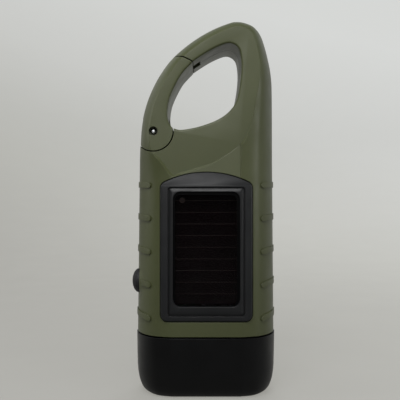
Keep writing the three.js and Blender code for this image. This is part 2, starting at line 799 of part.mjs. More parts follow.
const bezelFront = -halfDepth - bezelProud;
const flangeFront = -halfDepth + wall + fit;
const flangeBack = flangeFront + bezelFlangeThick;
const ledgeY = bezelFront + pocketDepth;
const windowBack = ledgeY + fit + windowThick;
const gasketBack = windowBack + fit + gasketThick;
const cellFront = gasketBack + fit;
const cellBack = cellFront + cellThick;

const panelOutline = (margin) => roundedRectangle(
  panelX - panelHalfWidth - margin, panelX + panelHalfWidth + margin,
  panelBottom - margin, panelTop + margin, panelCorner,
);

function addSolarPanel() {
  const plate = prism(bezelOutline(0), bezelFront, flangeBack);
  const flange = prism(bezelOutline(bezelFlange), flangeFront, flangeBack);
  const rim = loft([[bezelFront - rimWidth, 2 * rimWidth], [bezelFront + rimDepth, 0], [flangeBack, 0]].map(
    ([y, margin]) => panelOutline(margin).map((p) => new THREE.Vector3(p.x, y, p.y)),
  ), onXZ);
  const pocket = prism(panelOutline(pocketLip + fit), ledgeY, flangeBack + overrun);
  const grooveOuter = roundedRectangle(
    panelX - bezelHalfWidth + grooveInset, panelX + bezelHalfWidth - grooveInset,
    bezelBottom + grooveFoot, bezelShoulder - grooveHead, 2 * grooveWidth,
  );
  const groove = prism(grooveOuter, bezelFront - overrun, bezelFront + grooveDepth)
    .subtract(prism(grown(grooveOuter, -grooveWidth), bezelFront - 2 * overrun, flangeBack));
  addPiece("solar_bezel", cut(plate.add(flange), rim, pocket, groove), black);
  addPiece("solar_window", prism(panelOutline(pocketLip), ledgeY + fit, windowBack), clear);
  const gasket = prism(panelOutline(pocketLip), windowBack + fit, gasketBack)
    .subtract(prism(panelOutline(0), windowBack, gasketBack + fit));
  addPiece("solar_gasket", gasket, rubber);
  addPiece("solar_cell", prism(panelOutline(pocketLip), cellFront, cellBack), solarGlass);
}

const lensBottom = lipThick + fit;
const lensTop = lensBottom + lensThick;
const sealTop = lensTop + fit + sealThick;
const reflectorBottom = sealTop + fit;
const lampBoardTop = headHeight - collarRoot - lampHeadroom;
const lampBoardBottom = lampBoardTop - lampBoardThick;
const cupTop = lampBoardBottom - fit;
const lampPlaces = [
  { name: "lamp_left", x: -cupPitch }, { name: "lamp_centre", x: 0 }, { name: "lamp_right", x: cupPitch },
];

function addHead() {
  const levels = headRoundShares.map(([rise, inset]) => [rise * headHeight, -inset * halfWidth]);
  const rings = [...levels, [headHeight, headFlare]].map(([z, growth]) =>
    planOutline(growth).map((p) => new THREE.Vector3(p.x, p.y, z)));
  const outer = loft(rings, onXY);
  const collar = pillar(planOutline(-wall - fit), headHeight - collarRoot, headHeight + collarHeight);
  const mouth = pillar(planOutline(-headWall - lipWidth), -overrun, lipThick + overrun);
  const room = pillar(planOutline(-headWall), lipThick, headHeight - collarRoot);
  const throat = pillar(planOutline(-wall - fit - collarThick), lipThick, headHeight + collarHeight + overrun);
  addPiece("head_shell", cut(outer.add(collar), mouth, room, throat), black);
}

function addLampUnit() {
  const within = planOutline(-headWall - fit);
  addPiece("lens", pillar(within, lensBottom, lensTop), clear);
  const seal = pillar(within, lensTop + fit, sealTop)
    .subtract(pillar(grown(within, -sealWidth), lensTop, sealTop + fit));
  addPiece("lens_seal", seal, rubber);
  let reflector = pillar(within, reflectorBottom, reflectorBottom + reflectorPlate);
  for (const { x } of lampPlaces) reflector = reflector.add(cupOuter(x));
  for (const { x } of lampPlaces) reflector = reflector.subtract(cupInner(x));
  addPiece("reflector", reflector, chrome);
  const board = pillar(grown(within, -2 * fit), lampBoardBottom, lampBoardTop);
  addPiece("lamp_board", board, boardGreen);
  for (const { name, x } of lampPlaces) addPiece(name, lamp(x), lampMaterial);
}

// Inner profile of a reflector cup: a parabola from its mouth down to its throat.
function cupProfile(extra) {
  const steps = 3;
  const profile = [];
  for (let i = 0; i <= steps; i += 1) {
    const radius = THREE.MathUtils.lerp(cupMouthRadius, cupThroatRadius, i / steps);
    const fall = (cupMouthRadius ** 2 - radius ** 2) / (cupMouthRadius ** 2 - cupThroatRadius ** 2);
    profile.push([radius + extra, reflectorBottom + fall * (cupTop - reflectorBottom)]);
  }
  return profile;
}

function cupOuter(x) {
  const profile = cupProfile(cupWall);
  return turnedUpright([...profile, [0, cupTop], [0, reflectorBottom]], x, 0);
}

function cupInner(x) {
  const profile = cupProfile(0);
  const [mouth, throat] = [profile[0][0], profile.at(-1)[0]];
  return turnedUpright([
    [0, reflectorBottom - overrun], [mouth, reflectorBottom - overrun], ...profile,
    [throat, cupTop + overrun], [0, cupTop + overrun],
  ], x, 0);
}

// A lamp on the board: a short body with a domed lower end.
function lamp(x) {
  const base = lampBoardBottom;
  const shoulder = base - lampHeight + lampRadius;
  const dome = lampDomeShares.map((share) => {
    const angle = (share * Math.PI) / 2;
    return [lampRadius * Math.sin(angle), shoulder - lampRadius * Math.cos(angle)];
  });
  return turnedUpright([...dome, [lampRadius, base - fit / 3], [0, base - fit / 3]], x, 0, 14);
}

const bushRadius = crankShaftRadius + fit + bushWall;
const armBottom = deckDepth + armLift;
const armTop = armBottom + armThick;
const shaftTop = armTop - armScrewHeadThick - 2 * fit;
const deckInner = deckDepth - deckWall;
const layerY = Array.from({ length: layerCount }, (_, i) => deckInner - (i + 1) * (gearThick + layerGap));
const plateBack = deckInner - gearStack;
const plateFront = plateBack - plateThick;

// Pitch radius of a gear, and the distance at which two of them mesh.
const pitchRadius = (teeth) => (teeth * toothModule) / 2;
const meshDistance = (one, other) => pitchRadius(one) + pitchRadius(other);

const idlerOne = stepFrom(hub, meshDistance(crankTeeth, pinionTeeth), idlerOneDegrees);
const idlerTwo = stepFrom(idlerOne, meshDistance(wheelTeeth, pinionTeeth), idlerTwoDegrees);
const rotor = stepFrom(idlerTwo, meshDistance(wheelTeeth, pinionTeeth), rotorDegrees);
const posts = [
  stepFrom(hub, pitchRadius(crankTeeth) + postGap + postRadius, postDegrees[0]),
  stepFrom(idlerTwo, pitchRadius(wheelTeeth) + postGap + postRadius, postDegrees[1]),
];
const cavityTop = posts[1].z + plateMargin + 2 * fit;

// The turn, in radians, that puts a gap of the driven gear where the driving gear has a tooth.
function meshPhase(driverTeeth, driverPhase, drivenTeeth, degrees) {
  const angle = THREE.MathUtils.degToRad(degrees);
  return angle + Math.PI - (driverTeeth / drivenTeeth) * (driverPhase - angle) - Math.PI / drivenTeeth;
}

const idlerOnePhase = meshPhase(crankTeeth, 0, pinionTeeth, idlerOneDegrees);
const idlerTwoPhase = meshPhase(wheelTeeth, idlerOnePhase, pinionTeeth, idlerTwoDegrees);
const rotorPhase = meshPhase(wheelTeeth, idlerTwoPhase, pinionTeeth, rotorDegrees);

// A spur gear's disc, with flat-sided teeth that stand in for the curved ones.
function gearDisc(centre, teeth, phase, y0, y1) {
  const pitch = pitchRadius(teeth);
  const lean = Math.tan(THREE.MathUtils.degToRad(pressureDegrees));
  const halfTooth = (Math.PI * toothModule) / 4 - toothBacklash / 2;
  const sides = [
    { radius: pitch - toothDedendum * toothModule, half: halfTooth + toothDedendum * toothModule * lean },
    { radius: pitch + toothAddendum * toothModule, half: halfTooth - toothAddendum * toothModule * lean },
  ];
  const outline = [];
  const put = (radius, angle) => outline.push(
    point(centre.x + radius * Math.cos(angle), centre.z + radius * Math.sin(angle)),
  );
  const gapLimit = Math.PI / teeth;
  for (let tooth = 0; tooth < teeth; tooth += 1) {
    const middle = phase + (tooth * 2 * Math.PI) / teeth;
    const spread = ({ radius, half }) => Math.min(half / radius, gapLimit * toothGapShare);
    sides.forEach((side) => put(side.radius, middle - spread(side)));
    [...sides].reverse().forEach((side) => put(side.radius, middle + spread(side)));
  }
  return prism(outline, y0, y1);
}

// A wheel and a pinion moulded in one, on a plain axle.
function compoundGear(centre, phase, wheelLayer) {
  const pinionLayer = wheelLayer - 1;
  const wheelY = layerY[wheelLayer];
  const pinionY = layerY[pinionLayer];
  const wheel = gearDisc(centre, wheelTeeth, phase, wheelY, wheelY + gearThick);
  const pinion = gearDisc(centre, pinionTeeth, phase, wheelY + gearThick / 2, pinionY + gearThick);
  const bore = disc(centre.x, centre.z, axleRadius + axleFit, wheelY - overrun, pinionY + gearThick + overrun, 12);
  return cut(wheel.add(pinion), bore);
}

function axleSockets() {
  return [idlerOne, idlerTwo].map(({ x, z }) =>
    disc(x, z, axleRadius + fit, deckInner - overrun, deckInner + axleSink, 12));
}

// The posts of the gear plate, which stand on the inside of the back shell.
function gearPosts() {
  return posts.map(({ x, z }) =>
    disc(x, z, postRadius, plateBack + fit, halfDepth, 16).intersect(bodyBlock(0)).subtract(deckCutter()));
}

function postBores() {
  return posts.map(({ x, z }) =>
    disc(x, z, screwRadius + fit, plateBack, plateBack + fit + screwReach + fit, 12));
}

// The plate that carries the front ends of the axles, an outline drawn round all of them.
function gearPlateOutline() {
  const places = [hub, idlerOne, idlerTwo, rotor, ...posts];
  return convexOutline(places.flatMap(({ x, z }) => polygon(x, z, plateMargin, 16)));
}

// The outline of a tight band round a set of points, counter-clockwise.
function convexOutline(points) {
  const sorted = [...points].sort((a, b) => a.x - b.x || a.y - b.y);
  const turnsLeft = (a, b, c) => (b.x - a.x) * (c.y - a.y) - (b.y - a.y) * (c.x - a.x) > weld;
  const chain = (list) => list.reduce((kept, next) => {
    while (kept.length > 1 && !turnsLeft(kept.at(-2), kept.at(-1), next)) kept.pop();
    return [...kept, next];
  }, []);
  return [...chain(sorted).slice(0, -1), ...chain([...sorted].reverse()).slice(0, -1)];
}

function addGearTrain() {
  const throughPlate = (place, radius) =>
    disc(place.x, place.z, radius, plateFront - overrun, plateBack + overrun, 14);
  const plate = cut(
    prism(gearPlateOutline(), plateFront, plateBack),
    throughPlate(hub, crankJournalRadius + fit), throughPlate(idlerOne, axleRadius + fit),
    throughPlate(idlerTwo, axleRadius + fit), throughPlate(rotor, axleRadius + fit),
    ...posts.map((place) => throughPlate(place, screwRadius + fit)),
  );
  addPiece("gear_plate", plate, nylon);
  const crankGear = gearDisc(hub, crankTeeth, 0, layerY[0], layerY[0] + gearThick);
  const gearBore = disc(0, hubZ, driveRadius + fit, layerY[0] - overrun, deckDepth, 6);
  addPiece("crank_gear", cut(crankGear, gearBore), nylon);
  addPiece("idler_gear_1", compoundGear(idlerOne, idlerOnePhase, 1), nylon);
  addPiece("idler_gear_2", compoundGear(idlerTwo, idlerTwoPhase, 2), nylon);
  const axleEnd = deckInner + axleSink - fit;
  addPiece("idler_axle_1", disc(idlerOne.x, idlerOne.z, axleRadius, plateFront, axleEnd, 10), steel);
  addPiece("idler_axle_2", disc(idlerTwo.x, idlerTwo.z, axleRadius, plateFront, axleEnd, 10), steel);
  posts.forEach((place, i) => addPiece(`plate_screw_${i + 1}`, panScrew(place, plateFront), steel));
}

// A small screw driven towards +Y, whose head lies against y.
function panScrew({ x, z }, y) {
  const head = disc(x, z, screwHeadRadius, y - fit - screwHeadThick, y - fit, 14);
  const shank = disc(x, z, screwRadius, y - fit - screwHeadThick / 2, y + plateThick + screwReach, 10);
  const slot = box(
    x - screwHeadRadius * 2, x + screwHeadRadius * 2, y - overrun, y - fit - screwHeadThick / 2,
    z - slotCut / 2, z + slotCut / 2,
  );
  return head.add(shank).subtract(slot);
}

const statorBack = plateFront - fit;
const statorFront = statorBack - statorDepth;

function ringY(place, outer, inner, y0, y1, steps = 20) {
  return disc(place.x, place.z, outer, y0, y1, steps)
    .subtract(disc(place.x, place.z, inner, y0 - overrun, y1 + overrun, steps));
}

function addGenerator() {
  const pinion = gearDisc(rotor, pinionTeeth, rotorPhase, layerY[2], layerY[2] + gearThick);
  const bore = disc(rotor.x, rotor.z, axleRadius + axleFit / 2, layerY[2] - overrun, deckDepth, 12);
  addPiece("rotor_pinion", cut(pinion, bore), nylon);
  const shaft = disc(
    rotor.x, rotor.z, axleRadius, statorFront - fit - capThick, layerY[2] + gearThick, 10,
  );
  addPiece("rotor_shaft", shaft, steel);
  const magnet = ringY(rotor, magnetRadius, axleRadius + axleFit / 2, statorFront + fit, statorBack - fit, 20);
  addPiece("rotor_magnet", magnet, magnetGrey);
  const sleeve = ringY(rotor, bobbinRadius + bobbinWall, bobbinRadius, statorFront, statorBack);
  const flanges = [statorFront, statorBack - bobbinWall].map((y) =>
    ringY(rotor, bobbinFlangeRadius, bobbinRadius, y, y + bobbinWall));
  addPiece("stator_bobbin", joined(sleeve, ...flanges), nylon);
  const coil = ringY(
    rotor, coilInner + coilThick, coilInner, statorFront + bobbinWall + fit, statorBack - bobbinWall - fit,
  );
  addPiece("stator_coil", coil, copper);
  addPiece("stator_yoke", ringY(rotor, yokeRadius, yokeRadius - yokeWall, statorFront, statorBack), steel);
  const capFront = statorFront - fit - capThick;
  const cap = ringY(rotor, yokeRadius, axleRadius + fit, capFront, statorFront - fit);
  addPiece("generator_cap", cap, steel);
}

// Crank shaft: a thin journal in the plate, a six-sided drive in the gear, a round neck and a six-sided end.
function addCrankShaft() {
  const gearTop = layerY[0] + gearThick;
  const shaft = joined(
    disc(0, hubZ, crankJournalRadius, plateFront, layerY[0], 12),
    disc(0, hubZ, driveRadius, layerY[0] - fit, gearTop, 6),
    disc(0, hubZ, crankShaftRadius, gearTop - fit, armBottom + fit, 16),
    disc(0, hubZ, driveRadius, armBottom, shaftTop, 6),
  );
  const bore = disc(0, hubZ, screwCore + fit, shaftTop - screwReach - fit, shaftTop + overrun, 10);
  addPiece("crank_shaft", cut(shaft, bore), steel);
  const flangeBase = deckDepth + fit;
  const bush = joined(
    disc(0, hubZ, bushRadius, deckInner, flangeBase + bushFlangeThick, 20),
    disc(0, hubZ, bushRadius + bushFlange, flangeBase, flangeBase + bushFlangeThick, 20),
  );
  const bushBore = disc(0, hubZ, crankShaftRadius + fit, deckDepth - overrun, armTop, 16);
  addPiece("crank_bush", cut(bush, bushBore), nylon);
  const headBottom = shaftTop + fit;
  const screw = joined(
    disc(0, hubZ, armScrewHead, headBottom, headBottom + armScrewHeadThick, 20),
    disc(0, hubZ, screwCore, shaftTop - screwReach, headBottom + armScrewHeadThick / 2, 10),
  );
  const slot = box(
    -armScrewHead * 2, armScrewHead * 2, headBottom + armScrewHeadThick / 2, armTop + overrun,
    hubZ - slotCut, hubZ + slotCut,
  );
  addPiece("crank_screw", cut(screw, slot), steel);
}

// The arm, slotted for the knob, which lies in it when it is folded.
function addCrankArm() {
  const tipCentre = hubZ + crankReach - armHalfWidth;
  const foldZ = hubZ + foldReach;
  const slotEnd = foldZ + knobRadius + fit;
  const flat = joined(
    disc(0, hubZ, hubRadius, armBottom, armTop, 36),
    box(-armHalfWidth, armHalfWidth, armBottom, armTop, hubZ, tipCentre),
    disc(0, tipCentre, armHalfWidth, armBottom, armTop, 28),
  );
  const slot = box(-slotHalfWidth, slotHalfWidth, armBottom - overrun, armTop + overrun, hubZ + slotStart, slotEnd);
  const socket = disc(0, hubZ, driveRadius + fit, armBottom - overrun, shaftTop, 6);
  const core = disc(0, hubZ, screwCore + fit, armBottom, armTop + overrun, 12);
  const headRoom = disc(0, hubZ, armScrewHead + fit, shaftTop, armTop + overrun, 20);
  const pinHole = crossPin(knobAxisDepth, foldZ, foldPinRadius + fit, -foldPinHalfLength - fit, foldPinHalfLength + fit);
  addPiece("crank_arm", cut(flat, slot, socket, core, headRoom, pinHole), black);
  const pin = crossPin(knobAxisDepth, foldZ, foldPinRadius, -foldPinHalfLength, foldPinHalfLength);
  addPiece("knob_hinge_pin", pin, steel);
}

// The knob on its spindle, folded down into the arm, with the block that it folds on.
function addKnob() {
  const foldZ = hubZ + foldReach;
  const blockBottom = foldZ - knobRadius;
  const knobTop = blockBottom - fit;
  const knobBottom = hubZ + slotStart + knobGap;
  const headTop = knobBottom + 2 * spindleHeadThick;
  const eye = crossPin(knobAxisDepth, foldZ, knobRadius, -knobBlockHalfWidth, knobBlockHalfWidth, 20);
  const pinBore = crossPin(knobAxisDepth, foldZ, foldPinRadius + fit, -armHalfWidth, armHalfWidth);
  const seatTop = foldZ - foldPinRadius - fit - spindleSeatWall;
  const seat = upright(0, knobAxisDepth, spindleRadius + fit, blockBottom - overrun, seatTop, 12);
  addPiece("knob_block", cut(eye, pinBore, seat), steel);
  const spindle = joined(
    upright(0, knobAxisDepth, spindleRadius, headTop - fit, seatTop - fit, 12),
    upright(0, knobAxisDepth, spindleHeadRadius, headTop - spindleHeadThick, headTop, 14),
  );
  addPiece("knob_spindle", spindle, steel);
  const grip = upright(0, knobAxisDepth, knobRadius, knobBottom, knobTop, 24);
  const bore = upright(0, knobAxisDepth, spindleRadius + fit, headTop, knobTop + overrun, 12);
  const headRoom = upright(0, knobAxisDepth, spindleHeadRadius + fit, knobBottom - overrun, headTop + fit, 14);
  addPiece("knob", cut(grip, bore, headRoom), black);
}

const boardFront = cellBack + boardGap;
const boardBack = boardFront + boardThick;
const boardLeft = switchLeft + switchOverhang;
const boardRight = rotor.x - yokeRadius - boardSide;
const boardBottom = headHeight + collarHeight + boardFoot;
const boardTop = boardBottom + boardTallShare * deckRadius;
const onBoard = ([across, up]) => point(
  THREE.MathUtils.lerp(boardLeft, boardRight, across), THREE.MathUtils.lerp(boardBottom, boardTop, up),
);

// A block on the back of the main board.
function component(shares, { width, tall, high }) {
  const { x, y: z } = onBoard(shares);
  const base = boardBack + fit / 2;
  return box(x - width / 2, x + width / 2, base, base + high, z - tall / 2, z + tall / 2);
}

function addMainBoard() {
  addPiece("main_board", box(boardLeft, boardRight, boardFront, boardBack, boardBottom, boardTop), boardGreen);
  addPiece("charge_chip", component(chipShares, chip), black);
  addPiece("rectifier", component(rectifierShares, rectifier), black);
  const { x, y: z } = onBoard(capacitorShares);
  const base = boardBack + fit / 2;
  addPiece("capacitor", disc(x, z, capacitorRadius, base, base + capacitorHigh, 16), magnetGrey);
}

// The push switch stands on the board, and its plunger runs towards the button.
function addSwitch() {
  const body = box(
    switchLeft, switchLeft + switchLong, boardBack + fit / 2, buttonDepth + switchCover,
    buttonZ - switchTall / 2, buttonZ + switchTall / 2,
  );
  const plungerEnd = switchLeft + plungerSink;
  const bore = crossPin(
    buttonDepth, buttonZ, plungerRadius + fit, switchLeft - overrun, plungerEnd + buttonTravel + fit,
  );
  addPiece("switch_body", cut(body, bore), black);
  addPiece("switch_plunger", crossPin(buttonDepth, buttonZ, plungerRadius, stemEnd + fit, plungerEnd), nylon);
}

// The button: a low dome that slides in the side of the case, with a flange that keeps it in.
function addButton() {
  const face = -halfWidth - buttonProud;
  const dome = buttonDomeShares.map((share) => {
    const angle = (share * Math.PI) / 2;
    return [buttonRadius * Math.sin(angle), face + buttonProud * buttonDomeShare * (1 - Math.cos(angle))];
  });
  const flangeBack = buttonFlangeX + buttonFlangeThick;
  const profile = [
    ...dome, [buttonRadius, buttonFlangeX], [buttonFlangeRadius, buttonFlangeX],
    [buttonFlangeRadius, flangeBack], [stemRadius, flangeBack], [stemRadius, stemEnd], [0, stemEnd],
  ];
  const points = [...profile, profile[0]].map(([radius, along]) => new THREE.Vector2(radius, along));
  const geometry = new THREE.LatheGeometry(points, 16);
  geometry.rotateZ(-Math.PI / 2).translate(0, buttonDepth, buttonZ);
  addPiece("button_cap", solidOf(geometry), rubber);
}

const cellPitch = batteryThick + fit;
const batteryLeft = lowerScrewX - screwBossRadius - batterySide - tabThick - batteryCount * cellPitch;
const batteryZ = headHeight + collarHeight + batteryFoot + cellRadius;
const batteryDepth = deckInner - fit - cellRadius;
const tabTop = batteryZ + tabRise;

function addBattery() {
  for (let i = 0; i < batteryCount; i += 1) {
    const left = batteryLeft + i * cellPitch;
    const cell = crossPin(batteryDepth, batteryZ, cellRadius, left, left + batteryThick, 24);
    addPiece(`battery_cell_${i + 1}`, cell, steel);
  }
  const tab = (x) => box(
    x, x + tabThick, batteryDepth - tabWidth / 2, batteryDepth + tabWidth / 2, batteryZ, tabTop,
  );
  addPiece("battery_tab_minus", tab(batteryLeft - fit - tabThick), steel);
  addPiece("battery_tab_plus", tab(batteryLeft + batteryCount * cellPitch), steel);
}

function addCaseScrews() {
  caseScrews.forEach(({ x, z }, i) => {
    const headBase = halfDepth - screwSink + fit;
    const head = disc(x, z, screwHeadRadius, headBase, headBase + screwHeadThick, 14);
    const shank = disc(x, z, screwRadius, -screwDepth, headBase + screwHeadThick / 2, 10);
    const slot = box(
      x - screwHeadRadius * 2, x + screwHeadRadius * 2, headBase + screwHeadThick / 2, halfDepth,
      z - slotCut / 2, z + slotCut / 2,
    );
    addPiece(`case_screw_${i + 1}`, cut(head.add(shank), slot), steel);
  });
}

// Leads to the main board from the lamps, the solar cell, the generator and the battery.
function addLeads() {
  const section = new THREE.Shape(polygon(0, 0, leadRadius, 6));
  const at = (x, y, z) => new THREE.Vector3(x, y, z);
  const addLead = (name, points, steps) => addPiece(name, swept(points, section, steps), leadRed);
  const boardMiddle = boardFront + boardThick / 2;
  const behindBoard = boardBack + fit + leadRadius;
  const bend = 2 * leadRadius;
  const lampStart = at(lampLeadXShare * halfWidth, lampLeadYShare * halfDepth, lampBoardTop + fit);
  const lampRise = lampStart.clone().setZ(lampStart.z + leadRise);
  const lampEnd = at((boardLeft + boardRight) / 2, boardMiddle, boardBottom - leadRadius);
  const lampBend = lampRise.clone().lerp(lampEnd, 0.5);
  addLead("lamp_lead", [lampStart, lampRise, lampBend, lampEnd], 10);
  const behindCell = cellBack + fit + leadRadius;
  const solarX = onBoard([solarLeadShare, 1]).x;
  addLead("solar_lead", [
    at(solarX, behindCell, boardTop + 2 * leadRise), at(solarX, behindCell, boardTop + leadRise),
    at(solarX, behindBoard, boardTop + fit), at(solarX, behindBoard, boardTop - leadRise),
  ], 8);
  addLead("generator_lead", [
    at(boardRight - 2 * bend, behindBoard, rotor.z + leadRise), at(boardRight, behindBoard, rotor.z + bend),
    at(rotor.x - yokeRadius - 2 * fit, behindBoard, rotor.z),
  ], 4);
  const tabX = batteryLeft - fit - tabThick / 2;
  const joinZ = onBoard([1, batteryLeadShare]).y;
  addLead("battery_lead", [
    at(tabX, batteryDepth, tabTop + fit), at(tabX, batteryDepth - bend, tabTop + 1.5 * bend),
    at(boardRight - bend, boardBack + leadRise, joinZ), at(boardRight - 2 * bend, boardBack + fit, joinZ),
  ], 8);
}

addShells();
addGate();
addGateSpring();
addSolarPanel();
addHead();
addLampUnit();
addGearTrain();
addGenerator();
addCrankShaft();
addCrankArm();
addKnob();
addMainBoard();
addSwitch();
addButton();
addBattery();
addCaseScrews();
addLeads();

export default flashlight;
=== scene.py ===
import json
from math import atan2, cos, degrees, pi, radians, sin

import bmesh
import bpy
from mathutils import Matrix, Vector


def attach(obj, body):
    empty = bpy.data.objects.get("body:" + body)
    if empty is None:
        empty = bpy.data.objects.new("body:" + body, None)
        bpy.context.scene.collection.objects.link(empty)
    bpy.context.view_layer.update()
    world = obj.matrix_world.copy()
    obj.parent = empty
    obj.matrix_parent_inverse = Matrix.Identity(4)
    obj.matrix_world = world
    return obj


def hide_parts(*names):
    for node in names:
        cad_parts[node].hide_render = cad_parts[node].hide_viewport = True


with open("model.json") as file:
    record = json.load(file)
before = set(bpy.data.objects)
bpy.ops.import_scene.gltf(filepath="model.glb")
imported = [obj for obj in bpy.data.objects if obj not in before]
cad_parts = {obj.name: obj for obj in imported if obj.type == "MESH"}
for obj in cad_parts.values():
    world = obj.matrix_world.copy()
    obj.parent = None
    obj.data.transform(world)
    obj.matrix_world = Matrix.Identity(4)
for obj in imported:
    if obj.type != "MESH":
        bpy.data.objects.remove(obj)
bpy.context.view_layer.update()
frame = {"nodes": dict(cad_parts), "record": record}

# Shapes are drawn in millimetres and brought to metres when they are finished.
MM = 0.001
# Edges that turn by more than these degrees are shown sharp.
SHARP_ANGLE = 30

# The case, as the solids give it.
FIT = 0.3
SEAM_GAP = 0.5
HEIGHT = 134.6
HALF_WIDTH = 24.8
RIGHT_SIDE = 25.05
LEFT_SIDE = 24.9
HALF_DEPTH = 14.2
LOOP_HALF_DEPTH = 13.2
WALL = 2
LIP_INSET = 0.8
HEAD_HEIGHT = 21.4
BODY_BOTTOM = HEAD_HEIGHT + SEAM_GAP
CAVITY_TOP = 84
# How far a cutter runs on past what it cuts.
BEYOND = 40

# Layers of the side: shares of the half depth, and of the half width that it is set in by.
LAYER_DEPTH_SHARES = [0, 0.352, 0.641, 0.838, 0.93, 1]
BODY_INSET_SHARES = [0, 0.036, 0.123, 0.236, 0.347, 0.508]
LOOP_INSET_SHARES = [0, 0.028, 0.072, 0.122, 0.168, 0.197]
# Outlines in shares of the half width and of the height.
CROWN_SHARES = [
    (0.98, 0.629), (0.976, 0.802), (0.96, 0.856), (0.915, 0.9), (0.85, 0.943),
    (0.803, 0.963), (0.755, 0.9755), (0.686, 0.9867), (0.565, 0.9957), (0.456, 0.9985),
    (0.34, 0.9955), (0.073, 0.9755), (-0.218, 0.943), (-0.492, 0.9), (-0.669, 0.857),
    (-0.794, 0.814), (-0.883, 0.77), (-0.936, 0.727), (-0.96, 0.684), (-0.972, 0.629),
]
RIGHT_BLEND_SHARES = (0.624, 0.951)
LEFT_BLEND_SHARES = (0.55, 0.684)
HOLE_SHARES = [
    (0.285, 0.924), (0.169, 0.916), (0.023, 0.902), (-0.167, 0.879), (-0.21, 0.871),
    (-0.343, 0.844), (-0.444, 0.811), (-0.516, 0.779), (-0.544, 0.747), (-0.532, 0.723),
    (-0.48, 0.7065), (-0.43, 0.702), (-0.343, 0.6995), (-0.125, 0.7065), (0.097, 0.72),
    (0.242, 0.734), (0.343, 0.75), (0.431, 0.774), (0.48, 0.814), (0.504, 0.857),
    (0.496, 0.889), (0.46, 0.912), (0.37, 0.924),
]
HOLE_ROUND = 0.7
CREASE_LEAN = (-0.3, 0.55)
CREASE_SHARES = [
    (-1.2, 0.643), (-0.758, 0.637), (-0.476, 0.582), (-0.363, 0.586), (-0.153, 0.597),
    (0.057, 0.609), (0.27, 0.63), (0.44, 0.651), (0.52, 0.667), (0.593, 0.691),
    (0.649, 0.719), (0.686, 0.75), (0.72, 0.787), (0.76, 0.82), (0.85, 0.87), (1.2, 0.95),
]
SLOPE_FOOT = 0.551 * HEIGHT
SLOPE_TOP = 0.66 * HEIGHT
SLOPE_HALF_WIDTH = 0.482 * HALF_WIDTH

# Gate, pin and latch. The sectors are in degrees about the pin.
PIN = Vector((-0.742 * HALF_WIDTH, 0.696 * HEIGHT))
PIN_RADIUS = 0.8
PIN_MOUTH = 1.6
PIN_SINK = 2.6
PIN_PROUD = 1.2
KNUCKLE_RADIUS = 6.8
GATE_REACH = 27.8
GATE_GAP = 0.4
GATE_SECTOR = (24, 172)
LUG_RADIUS = 5
LUG_HALF_DEPTH = 3
SPRING_ROOM = 2.6
TONGUE_REACH = 30.4
TONGUE_HALF_DEPTH = 3
TONGUE_SECTOR = (62, 67)
TONGUE_ROOM = 0.6
TONGUE_SLOT = 12

# Solar panel.
PANEL_X = 0.2
PANE_X = 0
BEZEL_HALF_WIDTH = 15.98
BEZEL_BOTTOM = 27.3
BEZEL_TOP = SLOPE_FOOT + 5
BEZEL_SHOULDER = BEZEL_TOP - 4
BEZEL_CORNER = 2.4
BEZEL_PROUD = 0.2
BEZEL_FLANGE = 1.3
FLANGE_THICKNESS = 1.6
FLANGE_ROOM = 1.9
FRAME_SIDE = 2.5
FRAME_FOOT = 1.8
PANEL_HALF_WIDTH = 10.85
PANEL_BOTTOM = 32.85
PANEL_TOP = BEZEL_SHOULDER - 3.8
PANEL_CORNER = 1.8
PANE_LAP = 1.2
# The opening reaches further above the clear part than below it, so the black border is widest at the top:
# painted shade from the recess, besides the cell's dark edge.
OPENING_HALF_WIDTH = 11.75
OPENING_BELOW = 0.45
OPENING_ABOVE = 1.25
OPENING_CORNER = 2.8
CELL_LINE_PITCH = 4.11
CELL_FIRST_LINE = 36.45
CELL_LINE_WIDTH = 0.12
CELL_CONTACT = (-8.3, 69.45)
CELL_CONTACT_RADIUS = 1.0

# Grip ribs.
RIB_COUNT = 5
RIB_TOP = BEZEL_SHOULDER - 0.4
RIB_PITCH = (RIB_TOP - BODY_BOTTOM - 5.9) / (RIB_COUNT - 1)
RIB_HEIGHT = 2.1
RIB_PROUD = 0.33
RIB_ROOT = 0.4
RIB_INNER = 0.785 * HALF_WIDTH
RIB_SOFT = 0.32
RIB_SLANTS = [0.028 + 0.041 * i for i in range(RIB_COUNT)]

# Deck and crank.
DECK_BELOW_HOLE = 6.75
DECK_ABOVE_HEAD = 4.3
DECK_RADIUS = (0.6995 * HEIGHT - DECK_BELOW_HOLE - BODY_BOTTOM - DECK_ABOVE_HEAD) / 2
HUB_Z = BODY_BOTTOM + DECK_ABOVE_HEAD + DECK_RADIUS
HUB = (0, HUB_Z)
DECK_DEPTH = 7.2
DECK_FLOOR = 1.8
BUSH_ROOM = 3.9
ARM_BOTTOM = 8.4
ARM_TOP = 12.4
ARM_HALF_WIDTH = 6.2
HUB_RADIUS = 9
ARM_TIP_Z = HUB_Z + DECK_RADIUS - 0.6 - ARM_HALF_WIDTH
FOLD_Z = HUB_Z + 24.5
KNOB_AXIS = 10.9
FOLD_PIN_HOLE = 1.2
ARM_SLOT_HALF_WIDTH = 3.4
SOCKET_RADIUS = 2.8
LEVER_SCREW_HEAD = 3.4
KNOB_RADIUS = 2.9
KNOB_GROOVES = 7

# Head and lamps.
HEAD_WALL = 2.2
HEAD_SHARES = [
    (0, 0.162), (0.006, 0.147), (0.018, 0.126), (0.04, 0.1), (0.07, 0.076), (0.11, 0.054),
    (0.16, 0.036), (0.234, 0.017), (0.32, 0.004), (0.42, -0.003), (0.7, -0.0085),
]
LAMPS = {"lamp_left": -14, "lamp_centre": 0, "lamp_right": 14}

